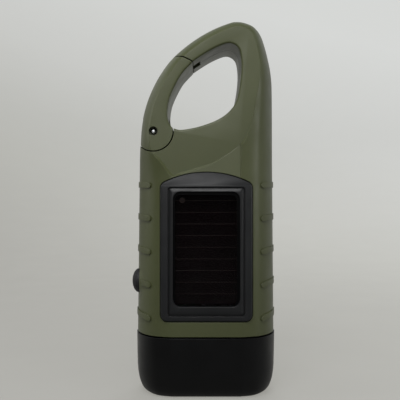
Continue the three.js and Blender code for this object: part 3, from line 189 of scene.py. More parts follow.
# Button and screws.
BUTTON_Z = RIB_TOP - 3 * RIB_PITCH + 0.5
BUTTON_DEPTH = -2
BUTTON_PLACE = (BUTTON_DEPTH, BUTTON_Z)
BUTTON_RADIUS = 4.35
BUTTON_COLLAR = 5.3
BUTTON_SEAT = 5.0
BUTTON_SEAT_SUNK = 1
BUTTON_SEAT_DEPTH = 3.2
BUTTON_FACE = -HALF_WIDTH - 1.9
SCREW_HEAD = 1.9
SCREW_SEAT = HALF_DEPTH - 4
SCREW_SHANK = 0.9
SCREW_END = -7
BOSS_RADIUS = 2.9
BOSS_INSET = 1.3

# Camera, lights and paper. A light has its place and side in metres, its watts, and whether gloss shows it.
PHOTO_PIXELS = 400
FOCAL_PIXELS = 664
SHIFT_PIXELS = (1, -16)
CAMERA_PLACE = (-2.4, -245, 75.2)
LIGHTS_AIM = (0, 0, 0.07)
LIGHTS = [
    ("ceiling_light", (-0.04, -0.17, 0.3), 0.16, 0.42, True),
    ("window_light", (-0.07, -0.5, 0.26), 0.22, 0.5, True),
    ("left_light", (-0.42, -0.02, 0.22), 0.32, 0.36, True),
    ("right_light", (0.42, -0.26, 0.15), 0.2, 0.42, True),
    ("back_light", (0.1, 0.5, 0.55), 0.45, 2.1, False),
]
# Painted light and shade on the paper: its tone goes by the distance from the origin in metres, with more for
# height and to the right, so it is darker near the flashlight and low down and lighter far off and high up.
PAPER_RISE = 2.5
PAPER_SLANT = 1.6
PAPER_REACH = 2.6
PAPER_LIGHT_AND_SHADE_TONES = [
    (0, (0.29, 0.285, 0.26)), (0.27, (0.42, 0.42, 0.39)),
    (0.6, (0.55, 0.555, 0.535)), (1, (0.64, 0.65, 0.635)),
]


def step_from(x, z, distance, angle):
    return Vector((x + distance * cos(radians(angle)), z + distance * sin(radians(angle))))


SCREWS = [
    step_from(*HUB, DECK_RADIUS + BOSS_RADIUS + FIT, 103.7),
    step_from(*HUB, DECK_RADIUS + BOSS_RADIUS + FIT, 60),
    Vector((HALF_WIDTH - 5.9, BODY_BOTTOM + 5.8)), Vector((5.9 - HALF_WIDTH, BODY_BOTTOM + 5.8)),
]


# Lines and outlines.

def through(points, per_span, closed=False):
    """A smooth line through the points."""
    count = len(points)
    spans = count if closed else count - 1
    def at(i):
        return points[i % count] if closed else points[min(max(i, 0), count - 1)]
    line = []
    for i in range(spans):
        a, b, c, d = at(i - 1), at(i), at(i + 1), at(i + 2)
        for step in range(per_span):
            t = step / per_span
            line.append(0.5 * (
                2 * b + (c - a) * t + (2 * a - 5 * b + 4 * c - d) * t * t + (3 * b - a - 3 * c + d) * t ** 3
            ))
    return line if closed else line + [points[-1].copy()]


def evenly(line, count, closed=False):
    """Points at equal steps along a line."""
    ends = line + [line[0]] if closed else line
    lengths = [0.0]
    for a, b in zip(ends, ends[1:]):
        lengths.append(lengths[-1] + (b - a).length)
    picked, i = [], 0
    for step in range(count if closed else count + 1):
        want = lengths[-1] * step / count
        while i < len(ends) - 2 and lengths[i + 1] < want:
            i += 1
        span = lengths[i + 1] - lengths[i] or 1
        picked.append(ends[i].lerp(ends[i + 1], (want - lengths[i]) / span))
    return picked


def grown(outline, distance):
    """A counter-clockwise outline moved outwards by a distance, a number or a function of the place."""
    moved = []
    for i, here in enumerate(outline):
        before = (here - outline[i - 1]).normalized()
        after = (outline[(i + 1) % len(outline)] - here).normalized()
        normal = Vector((before.y + after.y, -before.x - after.x))
        push = distance(here) if callable(distance) else distance
        moved.append(here + normal * (push / (1 + before.dot(after))))
    return moved


def rounded_rectangle(left, right, bottom, top, corner, steps=8):
    line = []
    for quarter, (x, z) in enumerate([(right, bottom), (right, top), (left, top), (left, bottom)]):
        cx = x - corner if x == right else x + corner
        cz = z - corner if z == top else z + corner
        for i in range(steps + 1):
            angle = (quarter - 1 + i / steps) * pi / 2
            line.append(Vector((cx + corner * cos(angle), cz + corner * sin(angle))))
    return line


def sector(centre, radius, start, end, steps=60):
    line = [centre.copy()]
    for i in range(steps + 1):
        line.append(step_from(centre.x, centre.y, radius, start + (end - start) * i / steps))
    return line


def from_shares(shares):
    return [Vector((x * HALF_WIDTH, z * HEIGHT)) for x, z in shares]


def smooth_step(value, low, high):
    t = min(max((value - low) / (high - low), 0), 1)
    return t * t * (3 - 2 * t)


# Solids.

def solid(bm):
    """A bmesh as a closed working object."""
    bmesh.ops.remove_doubles(bm, verts=bm.verts, dist=1e-4)
    bmesh.ops.recalc_face_normals(bm, faces=bm.faces)
    mesh = bpy.data.meshes.new("work")
    bm.to_mesh(mesh)
    bm.free()
    obj = bpy.data.objects.new("work", mesh)
    bpy.context.scene.collection.objects.link(obj)
    return obj


def wire(bm, places):
    verts = [bm.verts.new(place) for place in places]
    return [bm.edges.new((a, b)) for a, b in zip(verts, verts[1:] + verts[:1])]


def pushed(places, way):
    """A flat outline of places, run along a way."""
    bm = bmesh.new()
    face = bmesh.ops.contextual_create(bm, geom=wire(bm, places))["faces"]
    made = bmesh.ops.extrude_face_region(bm, geom=face)["geom"]
    verts = [v for v in made if isinstance(v, bmesh.types.BMVert)]
    bmesh.ops.translate(bm, verts=verts, vec=way)
    return solid(bm)


def skinned(rings):
    """A closed solid over rings of places."""
    bm = bmesh.new()
    wires = [wire(bm, ring) for ring in rings]
    for lower, upper in zip(wires, wires[1:]):
        bmesh.ops.bridge_loops(bm, edges=lower + upper)
    bmesh.ops.contextual_create(bm, geom=wires[0])
    bmesh.ops.contextual_create(bm, geom=wires[-1])
    return solid(bm)


def slab(outline, y0, y1):
    """An outline in X and Z, run along Y."""
    return pushed([(p.x, y0, p.y) for p in outline], (0, y1 - y0, 0))


def column(outline, z0, z1):
    """An outline in X and Y, run up Z."""
    return pushed([(p.x, p.y, z0) for p in outline], (0, 0, z1 - z0))


AXES = {"X": Matrix.Rotation(pi / 2, 4, "Y"), "Y": Matrix.Rotation(-pi / 2, 4, "X"), "Z": Matrix.Identity(4)}


def drum(place, radius, start, end, axis="Y", steps=96):
    """A round bar along an axis, from start to end, through a place in the plane across it."""
    bm = bmesh.new()
    bmesh.ops.create_cone(
        bm, cap_ends=True, segments=steps, radius1=radius, radius2=radius, depth=end - start,
    )
    bmesh.ops.transform(bm, matrix=AXES[axis], verts=bm.verts)
    middle = (start + end) / 2
    a, b = place
    offset = {"X": (middle, a, b), "Y": (a, middle, b), "Z": (a, b, middle)}[axis]
    bmesh.ops.translate(bm, verts=bm.verts, vec=offset)
    return solid(bm)


def block(x0, x1, y0, y1, z0, z1):
    bm = bmesh.new()
    bmesh.ops.create_cube(bm, size=1)
    bmesh.ops.scale(bm, verts=bm.verts, vec=(x1 - x0, y1 - y0, z1 - z0))
    bmesh.ops.translate(bm, verts=bm.verts, vec=((x0 + x1) / 2, (y0 + y1) / 2, (z0 + z1) / 2))
    return solid(bm)


def turned(profile, place, axis, steps=64):
    """A profile of (radius, distance) points turned about an axis through a place."""
    bm = bmesh.new()
    verts = [bm.verts.new((radius, 0, along)) for radius, along in profile]
    edges = [bm.edges.new(pair) for pair in zip(verts, verts[1:])]
    bmesh.ops.spin(
        bm, geom=verts + edges, cent=(0, 0, 0), axis=(0, 0, 1), angle=2 * pi, steps=steps, use_merge=True,
    )
    bmesh.ops.remove_doubles(bm, verts=bm.verts, dist=1e-4)
    turn = {
        "X": Matrix(((0, 0, 1, 0), (1, 0, 0, 0), (0, 1, 0, 0), (0, 0, 0, 1))),
        "Y": Matrix(((1, 0, 0, 0), (0, 0, 1, 0), (0, -1, 0, 0), (0, 0, 0, 1))),
        "Z": Matrix.Identity(4),
    }[axis]
    bmesh.ops.transform(bm, matrix=turn, verts=bm.verts)
    a, b = place
    bmesh.ops.translate(bm, verts=bm.verts, vec={"X": (0, a, b), "Y": (a, 0, b), "Z": (a, b, 0)}[axis])
    return solid(bm)


def applied(obj):
    """Makes the object's modifiers part of its mesh."""
    bpy.context.view_layer.update()
    graph = bpy.context.evaluated_depsgraph_get()
    mesh = bpy.data.meshes.new_from_object(obj.evaluated_get(graph))
    obj.modifiers.clear()
    obj.data = mesh
    return obj


def with_tools(base, tools, operation):
    for tool in tools:
        step = base.modifiers.new("tool", "BOOLEAN")
        step.operation, step.solver, step.object = operation, "EXACT", tool
    applied(base)
    for tool in tools:
        bpy.data.objects.remove(tool)
    return base


def cut(base, *tools):
    return with_tools(base, tools, "DIFFERENCE")


def joined(base, *tools):
    return with_tools(base, tools, "UNION")


def common(base, tool):
    return with_tools(base, [tool], "INTERSECT")


def copied(obj):
    twin = bpy.data.objects.new("work", obj.data.copy())
    bpy.context.scene.collection.objects.link(twin)
    return twin


def rounded(obj, width, segments, angle=32):
    """Rounds the edges that turn by more than the angle, in degrees."""
    step = obj.modifiers.new("round", "BEVEL")
    step.width, step.segments, step.limit_method, step.angle_limit = width, segments, "ANGLE", radians(angle)
    return applied(obj)


def finished(obj, name, body, material, stands_for):
    """Brings a shape to metres and makes it a piece of the flashlight that moves with a body."""
    obj.name = obj.data.name = name
    obj.data.transform(Matrix.Scale(MM, 4))
    obj.data.shade_smooth()
    obj.data.set_sharp_from_angle(angle=radians(SHARP_ANGLE))
    obj.data.materials.clear()
    obj.data.materials.append(material)
    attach(obj, body)
    if stands_for:
        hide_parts(*stands_for)


# Materials.

def surface(material):
    return material.node_tree.nodes["Principled BSDF"]


def new_material(name, colour, roughness, metallic=0.0, **sockets):
    material = bpy.data.materials.new(name)
    material.use_nodes = True
    shader = surface(material)
    shader.inputs["Base Color"].default_value = (*colour, 1)
    shader.inputs["Roughness"].default_value = roughness
    shader.inputs["Metallic"].default_value = metallic
    for socket, value in sockets.items():
        shader.inputs[socket.replace("_", " ")].default_value = value
    return material


def add_node(material, kind, **values):
    node = material.node_tree.nodes.new(kind)
    for key, value in values.items():
        if key in node.inputs:
            node.inputs[key].default_value = value
        else:
            setattr(node, key, value)
    return node


def link(material, source, target):
    material.node_tree.links.new(source, target)


def maths(material, operation, *values):
    """What an operation makes of numbers and sockets."""
    node = add_node(material, "ShaderNodeMath", operation=operation)
    for socket, value in zip(node.inputs, values):
        if isinstance(value, (int, float)):
            socket.default_value = value
        else:
            link(material, value, socket)
    return node.outputs["Value"]


def noise_on(material, scale, detail, roughness=0.55, stretch=(1, 1, 1)):
    """A noise in the piece's own coordinates, of so many cells per metre."""
    place = add_node(material, "ShaderNodeTexCoord")
    mapping = add_node(material, "ShaderNodeMapping")
    mapping.inputs["Scale"].default_value = stretch
    noise = add_node(material, "ShaderNodeTexNoise", Scale=scale, Detail=detail, Roughness=roughness)
    link(material, place.outputs["Object"], mapping.inputs["Vector"])
    link(material, mapping.outputs["Vector"], noise.inputs["Vector"])
    return noise


def add_bump(material, height_socket, strength, distance, edge):
    """A fine relief, over edges that are softened to a radius."""
    bump = add_node(material, "ShaderNodeBump", Strength=strength, Distance=distance)
    link(material, height_socket, bump.inputs["Height"])
    if edge:
        soft = add_node(material, "ShaderNodeBevel", Radius=edge)
        link(material, soft.outputs["Normal"], bump.inputs["Normal"])
    link(material, bump.outputs["Normal"], surface(material).inputs["Normal"])


def vary_colour(material, noise, low, high, start=0.35, end=0.65):
    ramp = add_node(material, "ShaderNodeValToRGB")
    first, last = ramp.color_ramp.elements
    first.position, last.position = start, end
    first.color, last.color = (*low, 1), (*high, 1)
    link(material, noise.outputs["Fac"], ramp.inputs["Fac"])
    link(material, ramp.outputs["Color"], surface(material).inputs["Base Color"])


def vary_roughness(material, noise, low, high):
    spread = add_node(material, "ShaderNodeMapRange", **{
        "From Min": 0.3, "From Max": 0.7, "To Min": low, "To Max": high,
    })
    link(material, noise.outputs["Fac"], spread.inputs["Value"])
    link(material, spread.outputs["Result"], surface(material).inputs["Roughness"])


def moulded(name, colour, spread, roughness, grain=5200, relief=0.25, depth=0.00006, edge=0.00025, **sockets):
    """Moulded plastic: a fine spark-eroded grain, and a slight cloudiness of colour and gloss."""
    material = new_material(name, colour, roughness, **sockets)
    cloud = noise_on(material, 70, 4)
    vary_colour(material, cloud, [c * (1 - spread) for c in colour], [c * (1 + spread) for c in colour])
    vary_roughness(material, noise_on(material, 160, 5), roughness - 0.05, roughness + 0.06)
    add_bump(material, noise_on(material, grain, 2).outputs["Fac"], relief, depth, edge)
    return material


def metal(name, colour, roughness, stretch=(1, 1, 1), scale=2600, relief=0.12):
    material = new_material(name, colour, roughness, metallic=1.0)
    noise = noise_on(material, scale, 3, stretch=stretch)
    vary_roughness(material, noise, roughness - 0.06, roughness + 0.08)
    add_bump(material, noise.outputs["Fac"], relief, 0.00003, 0.00012)
    return material


def solar_cell_material():
    """Dark cell with fine silver lines across it and a round contact near its upper left corner."""
    material = new_material("solar_cell_dark", (0.002, 0.001, 0.001), 0.22, Specular_IOR_Level=0.08)
    place = add_node(material, "ShaderNodeTexCoord")
    split = add_node(material, "ShaderNodeSeparateXYZ")
    link(material, place.outputs["Object"], split.inputs["Vector"])
    x, z = split.outputs["X"], split.outputs["Z"]

    pitch, first_line, width = CELL_LINE_PITCH * MM, CELL_FIRST_LINE * MM, CELL_LINE_WIDTH * MM
    along = maths(material, "DIVIDE", maths(material, "SUBTRACT", z, first_line - pitch / 2), pitch)
    across = maths(material, "SUBTRACT", maths(material, "FRACT", along), 0.5)
    lines = maths(material, "LESS_THAN", maths(material, "ABSOLUTE", across), width / pitch / 2)
    contact_x, contact_z = CELL_CONTACT
    dx = maths(material, "SUBTRACT", x, contact_x * MM)
    dz = maths(material, "SUBTRACT", z, contact_z * MM)
    squares = [maths(material, "MULTIPLY", side, side) for side in (dx, dz)]
    reach = maths(material, "SQRT", maths(material, "ADD", *squares))
    dot = maths(material, "LESS_THAN", reach, CELL_CONTACT_RADIUS * MM)

    dark = add_node(material, "ShaderNodeMix", data_type="RGBA")
    dark.inputs["A"].default_value = (0.0012, 0.0005, 0.0007, 1)
    dark.inputs["B"].default_value = (0.0045, 0.0012, 0.0018, 1)
    link(material, noise_on(material, 120, 4).outputs["Fac"], dark.inputs["Factor"])
    marks = add_node(material, "ShaderNodeMix", data_type="RGBA")
    marks.inputs["B"].default_value = (0.085, 0.066, 0.06, 1)
    faint_lines = maths(material, "MULTIPLY", lines, 0.45)
    faint_dot = maths(material, "MULTIPLY", dot, 0.5)
    link(material, maths(material, "MAXIMUM", faint_lines, faint_dot), marks.inputs["Factor"])
    link(material, dark.outputs["Result"], marks.inputs["A"])
    link(material, marks.outputs["Result"], surface(material).inputs["Base Color"])
    return material


def clear_material(name, tint, roughness, bending):
    material = new_material(name, tint, roughness, Transmission_Weight=1.0, IOR=bending)
    vary_roughness(material, noise_on(material, 90, 5), roughness, roughness + 0.03)
    return material


def make_materials():
    olive = moulded("olive_moulded", (0.082, 0.092, 0.038), 0.05, 0.41, relief=0.25)
    black = moulded("black_moulded", (0.0115, 0.0122, 0.0132), 0.12, 0.38, grain=6500, relief=0.16)
    head_black = moulded(
        "black_head", (0.002, 0.0021, 0.0023), 0.12, 0.36, grain=6500, relief=0.16, Specular_IOR_Level=0.3,
    )
    rubber = moulded("black_rubber", (0.009, 0.009, 0.01), 0.1, 0.6, grain=3000, relief=0.3)
    nylon = moulded("natural_nylon", (0.72, 0.7, 0.6), 0.03, 0.5)
    lamp = moulded("milky_lamp", (0.85, 0.84, 0.62), 0.03, 0.15, relief=0.03, edge=0)
    board = moulded("green_lacquer", (0.014, 0.102, 0.034), 0.2, 0.3, grain=1500, relief=0.1)
    lead = moulded("red_sheath", (0.35, 0.014, 0.009), 0.06, 0.4)
    steel = metal("satin_steel", (0.56, 0.57, 0.58), 0.3)
    bright = metal("bright_reflector", (0.86, 0.87, 0.88), 0.1, relief=0.02)
    copper = metal("enamelled_wire", (0.52, 0.19, 0.06), 0.3, stretch=(1, 14, 1), relief=0.5)
    magnet = metal("sintered_magnet", (0.1, 0.1, 0.11), 0.55)
    clear = clear_material("clear_window", (0.96, 0.97, 0.98), 0.02, 1.45)
    pane = new_material("coated_pane", (0.003, 0.003, 0.003), 0.06, Alpha=0.12)
    vary_roughness(pane, noise_on(pane, 90, 5), 0.05, 0.09)
    # A near-black border: partly the cell's own dark edge, partly painted shade where the pane's recess walls
    # shade it.
    border = moulded(
        "black_border_painted_shade", (0.001, 0.001, 0.0013), 0.2, 0.4, relief=0.03, edge=0, Specular_IOR_Level=0.1,
    )
    return {
        "olive_plastic": olive, "black_plastic": black, "head_black": head_black, "black_rubber": rubber,
        "clear_window": clear, "solar_glass": solar_cell_material(), "reflector_chrome": bright,
        "steel": steel, "lamp_plastic": lamp, "board_green": board, "nylon": nylon, "magnet_grey": magnet,
        "copper_wire": copper, "lead_red": lead, "coated_pane": pane, "border_black": border,
    }


# Case, gate and ribs.

def fine_layers(per_span=3):
    """Shares of the depth, and of the insets there in the body and in the loop, made finer."""
    body = [Vector(pair) for pair in zip(LAYER_DEPTH_SHARES, BODY_INSET_SHARES)]
    loop = [Vector(pair) for pair in zip(LAYER_DEPTH_SHARES, LOOP_INSET_SHARES)]
    pairs = zip(through(body, per_span), through(loop, per_span))
    return [(in_body.x, in_body.y, in_loop.y) for in_body, in_loop in pairs]


def widened(x):
    """A width from the middle, taken out to where the side stands."""
    return x * (RIGHT_SIDE if x > 0 else LEFT_SIDE) / HALF_WIDTH


def body_outline():
    crown = evenly(through(from_shares(CROWN_SHARES), 12), 150)
    foot = Vector((HALF_WIDTH, BODY_BOTTOM))
    right = [foot.lerp(crown[0], i / 12) for i in range(12)]
    left = [crown[-1].lerp(Vector((-HALF_WIDTH, BODY_BOTTOM)), i / 12) for i in range(1, 13)]
    return [Vector((widened(p.x), p.y)) for p in right + crown + left]


def inset_at(place, body_share, loop_share):
    start, end = RIGHT_BLEND_SHARES if place.x > 0 else LEFT_BLEND_SHARES
    blend = smooth_step(place.y, start * HEIGHT, end * HEIGHT)
    return (body_share + (loop_share - body_share) * blend) * HALF_WIDTH


def body_block(proud=0.0):
    """The whole case as one block, larger all round by proud."""
    outline = body_outline()
    layers = fine_layers()
    in_front = [(-depth, *insets) for depth, *insets in reversed(layers[1:])]
    rings = []
    for depth, body_share, loop_share in in_front + layers:
        side = -1 if depth < 0 else 1 if depth > 0 else 0
        ring = grown(outline, lambda place: proud - inset_at(place, body_share, loop_share))
        ring[0].y = ring[-1].y = BODY_BOTTOM
        rings.append([(p.x, depth * HALF_DEPTH + side * proud, p.y) for p in ring])
    return skinned(rings)


def plan_outline(growth, per_span=3):
    """Cross-section of the body in X and Y."""
    quarter = [
        Vector((HALF_WIDTH * (1 - inset), depth * HALF_DEPTH)) for depth, inset, _ in fine_layers(per_span)
    ]
    back_left = [Vector((-p.x, p.y)) for p in reversed(quarter)]
    front_left = [Vector((-p.x, -p.y)) for p in quarter[1:]]
    front_right = [Vector((p.x, -p.y)) for p in reversed(quarter[1:])]
    ring = [Vector((widened(p.x), p.y)) for p in quarter + back_left + front_left + front_right]
    return grown(ring, growth)


def relieved_block():
    """The body with the loop and the back's upper part set lower."""
    crease = evenly(through(from_shares(CREASE_SHARES), 8), 70)
    far = HALF_WIDTH + BEYOND
    above = crease + [Vector((far, HEIGHT + BEYOND)), Vector((-far, HEIGHT + BEYOND))]
    deep, shallow = CREASE_LEAN
    steep = (shallow - deep) / (HALF_DEPTH - LOOP_HALF_DEPTH)
    low = skinned([
        [(p.x, y, p.y) for p in grown(above, growth)]
        for y, growth in ((-HALF_DEPTH - 2, shallow + 2 * steep), (-LOOP_HALF_DEPTH, deep))
    ])
    half, before = SLOPE_HALF_WIDTH, -HALF_DEPTH - 4
    slope = skinned([
        [(-half, y, z), (half, y, z), (half + spread, before, z), (-half - spread, before, z)]
        for y, z, spread in ((-HALF_DEPTH, SLOPE_FOOT, 4), (-LOOP_HALF_DEPTH, SLOPE_TOP, 5))
    ])
    back = block(-far, far, LOOP_HALF_DEPTH, HALF_DEPTH + BEYOND, HUB_Z, HEIGHT + BEYOND)
    return cut(body_block(), low, slope, back)


def hole_outline():
    return evenly(through(from_shares(HOLE_SHARES), 8, closed=True), 110, closed=True)


def hole_cutter():
    """The finger hole, with its rims rounded at both faces."""
    outline = hole_outline()
    levels = [(-HALF_DEPTH - BEYOND, HOLE_ROUND)]
    for i in range(6):
        angle = i / 5 * pi / 2
        levels.append((-LOOP_HALF_DEPTH + HOLE_ROUND * (1 - cos(angle)), HOLE_ROUND * (1 - sin(angle))))
    levels += [(-y, flare) for y, flare in reversed(levels)]
    return skinned([[(p.x, y, p.y) for p in grown(outline, flare)] for y, flare in levels])


def gate_region(clearance):
    reach = HALF_DEPTH + BEYOND
    arm = slab(sector(PIN, GATE_REACH + clearance, *GATE_SECTOR), -reach, reach)
    return joined(arm, drum(PIN, KNUCKLE_RADIUS + clearance, -reach, reach))


def tongue(clearance, sweep):
    start, end = TONGUE_SECTOR
    depth = TONGUE_HALF_DEPTH + clearance
    shape = slab(grown(sector(PIN, TONGUE_REACH, start - sweep, end), clearance), -depth, depth)
    return cut(shape, drum(PIN, GATE_REACH - WALL, -depth - 1, depth + 1))


def lug():
    """The lug that the gate's cheeks straddle."""
    eye = drum(PIN, LUG_RADIUS, -LUG_HALF_DEPTH, LUG_HALF_DEPTH)
    stalk = block(
        PIN.x - LUG_RADIUS, PIN.x + LUG_RADIUS, -LUG_HALF_DEPTH, LUG_HALF_DEPTH,
        PIN.y - KNUCKLE_RADIUS - WALL, PIN.y,
    )
    bore = drum(PIN, PIN_RADIUS + FIT, -LUG_HALF_DEPTH - 1, LUG_HALF_DEPTH + 1, steps=32)
    return cut(joined(eye, stalk), bore)


def bezel_outline(growth, steps=40):
    """The bezel: a rectangle under a flat arch, with rounded corners."""
    rise = BEZEL_TOP - BEZEL_SHOULDER
    radius = (BEZEL_HALF_WIDTH ** 2 + rise ** 2) / (2 * rise)
    arch = Vector((PANEL_X, BEZEL_TOP - radius))
    inner = BEZEL_HALF_WIDTH - BEZEL_CORNER
    turn = Vector((PANEL_X + inner, arch.y + ((radius - BEZEL_CORNER) ** 2 - inner ** 2) ** 0.5))
    lean = atan2(turn.y - arch.y, inner)
    foot = [p for p in rounded_rectangle(
        PANEL_X - BEZEL_HALF_WIDTH, PANEL_X + BEZEL_HALF_WIDTH, BEZEL_BOTTOM, BEZEL_SHOULDER, BEZEL_CORNER,
    ) if p.y < HUB_Z]
    left = [p for p in foot if p.x < PANEL_X]
    right = [p for p in foot if p.x > PANEL_X]
    shoulder = [step_from(turn.x, turn.y, BEZEL_CORNER, degrees(lean) * i / 8) for i in range(8)]
    arc = [
        step_from(arch.x, arch.y, radius, degrees(lean + (pi - 2 * lean) * i / steps))
        for i in range(steps + 1)
    ]
    other = [Vector((2 * PANEL_X - p.x, p.y)) for p in reversed(shoulder)]
    return grown(right + shoulder + arc + other + left, growth)


def button_hole():
    """The way through the wall for the button, with room inside for its collar."""
    bore = drum(BUTTON_PLACE, BUTTON_RADIUS + FIT, -HALF_WIDTH - BEYOND, -HALF_WIDTH / 2, "X")
    room = drum(BUTTON_PLACE, BUTTON_COLLAR + FIT, -HALF_WIDTH + WALL, -HALF_WIDTH / 2, "X")
    return joined(bore, room)


def button_seat():
    """The low round swelling that the button sits in, which widens inwards as a cone."""
    face, end = BUTTON_SEAT_SUNK - LEFT_SIDE, BUTTON_SEAT_DEPTH - HALF_WIDTH
    profile = [
        (0, face), (BUTTON_SEAT - 0.3, face), (BUTTON_SEAT - 0.1, face + 0.03), (BUTTON_SEAT, face + 0.1),
        (BUTTON_SEAT + end - face - 0.1, end), (0, end),
    ]
    return turned(profile, BUTTON_PLACE, "X", 96)


def screw_holes():
    holes = []
    for place in SCREWS:
        shank = drum(place, SCREW_SHANK + FIT, SCREW_END - FIT, HALF_DEPTH + BEYOND, steps=32)
        head = drum(place, SCREW_HEAD + FIT, SCREW_SEAT, HALF_DEPTH + BEYOND, steps=48)
        holes.append(joined(shank, head))
    return holes


def cavity():
    """The room inside the body, less what stands round the deck."""
    room = column(plan_outline(-WALL, 1), BODY_BOTTOM - 5, CAVITY_TOP)
    return cut(room, drum(HUB, DECK_RADIUS + WALL, DECK_DEPTH - DECK_FLOOR, HALF_DEPTH + 5))


def deck_cutter():
    """The round deck in the back."""
    return drum(HUB, DECK_RADIUS, DECK_DEPTH, HALF_DEPTH + BEYOND, steps=144)


def half_joint():
    """The lip of the front half, which reaches to the back half inside the outer and the hole's edges."""
    ring = slab(grown(body_outline(), -LIP_INSET), -2 * FIT, 0.4 * FIT)
    return cut(ring, slab(grown(hole_outline(), LIP_INSET), -FIT * 3, FIT * 3))


def make_case(materials):
    """Both halves of the case, and the gate, which is cut from the same block."""
    olive = materials["olive_plastic"]
    relieved = relieved_block()
    gate_blank = copied(relieved)
    bosses = [drum(place, BOSS_RADIUS, -HALF_DEPTH, HALF_DEPTH - 3, steps=32) for place in SCREWS]
    for boss in bosses:
        common(boss, body_block(-BOSS_INSET))
    hollow = cut(joined(cut(relieved, cavity()), *bosses), deck_cutter())
    hole = hole_cutter()
    opened = cut(hollow, copied(hole), gate_region(GATE_GAP), *screw_holes())
    seated = cut(joined(opened, lug(), button_seat()), button_hole())
    whole = cut(seated, tongue(TONGUE_ROOM, TONGUE_SLOT))
    far = HEIGHT + BEYOND
    front = common(copied(whole), block(-far, far, -far, -FIT / 2, -far, far))
    lip = common(copied(whole), half_joint())
    front = joined(front, lip)
    back = common(whole, block(-far, far, FIT / 2, far, -far, far))
    inside = -HALF_DEPTH + WALL
    opening = slab(bezel_outline(FIT), -HALF_DEPTH - BEYOND, inside + 3)
    flange_room = slab(bezel_outline(BEZEL_FLANGE + FIT), inside, inside + FLANGE_ROOM)
    finished(cut(front, opening, flange_room), "case_front", "case", olive, ["front_shell"])
    bush_hole = drum(HUB, BUSH_ROOM, DECK_DEPTH - 3, DECK_DEPTH + 3, steps=64)
    finished(cut(back, bush_hole), "case_back", "case", olive, ["back_shell"])
    make_gate(gate_blank, hole, olive)


def make_gate(blank, hole, olive):
    """The gate, with cheeks at its pin, a tongue at its nose and a mouth at each end of the pin."""
    arm = common(cut(blank, hole), gate_region(0))
    cheeks = drum(PIN, KNUCKLE_RADIUS + GATE_GAP, -LUG_HALF_DEPTH - FIT, LUG_HALF_DEPTH + SPRING_ROOM)
    bore = drum(PIN, PIN_RADIUS + FIT, -HALF_DEPTH - 1, HALF_DEPTH + 1, steps=48)
    mouth = LOOP_HALF_DEPTH - PIN_SINK + FIT
    mouths = [
        drum(PIN, PIN_MOUTH, -HALF_DEPTH - 1, -mouth, steps=48),
        drum(PIN, PIN_MOUTH, mouth, HALF_DEPTH + 1, steps=48),
    ]
    gate = cut(joined(arm, tongue(0, 0)), cheeks, bore, *mouths)
    finished(gate, "gate_arm", "snap_gate", olive, ["gate"])


def make_ribs(olive):
    """The ribs down both sides, each a low band with half-round ends and soft edges."""
    outer, beyond = HALF_WIDTH + 6, 60
    for side, name in ((1, "ribs_right"), (-1, "ribs_left")):
        ends = (RIB_INNER, outer) if side > 0 else (-outer, -RIB_INNER)
        bands = []
        for i in range(RIB_COUNT):
            low = RIB_TOP - i * RIB_PITCH - RIB_HEIGHT / 2
            level = rounded_rectangle(*ends, low, low + RIB_HEIGHT, RIB_HEIGHT / 2, 10)
            slanted = [Vector((p.x, p.y + RIB_SLANTS[i] * (abs(p.x) - RIB_INNER))) for p in level]
            bands.append(slab(slanted, -HALF_DEPTH - 4, DECK_DEPTH))
        blank = body_block(RIB_PROUD)
        inner = body_block(-RIB_ROOT)
        left, right = min(0, side * beyond), max(0, side * beyond)
        front_room = block(left, right, -beyond, -FIT / 2, 0, HEIGHT)
        back_room = block(left, right, FIT / 2, beyond, 0, HEIGHT)
        band = joined(bands[0], *bands[1:])
        shell = common(cut(blank, inner), band)
        if side < 0:
            around = BUTTON_SEAT + 0.6
            cut(shell, drum(BUTTON_PLACE, around, -HALF_WIDTH - 9, -HALF_WIDTH / 2, "X"))
        front = rounded(common(copied(shell), front_room), RIB_SOFT, 5, 40)
        finished(front, name + "_front", "case", olive, ())
        back = rounded(common(shell, back_room), RIB_SOFT, 5, 40)
        finished(back, name + "_back", "case", olive, ())


# Panel, head, lamps and button.

def panel_outline(margin):
    """The clear part of the pane, grown by a margin."""
    return rounded_rectangle(
        PANE_X - PANEL_HALF_WIDTH - margin, PANE_X + PANEL_HALF_WIDTH + margin,
        PANEL_BOTTOM - margin, PANEL_TOP + margin, PANEL_CORNER + max(margin, 0) / 2,
    )


def opening_outline(growth):
    """The opening in the bezel, which is a little wider than the clear part of the pane."""
    half = OPENING_HALF_WIDTH
    return rounded_rectangle(
        PANEL_X - half - growth, PANEL_X + half + growth,
        PANEL_BOTTOM - OPENING_BELOW - growth, PANEL_TOP + OPENING_ABOVE + growth, OPENING_CORNER,
    )


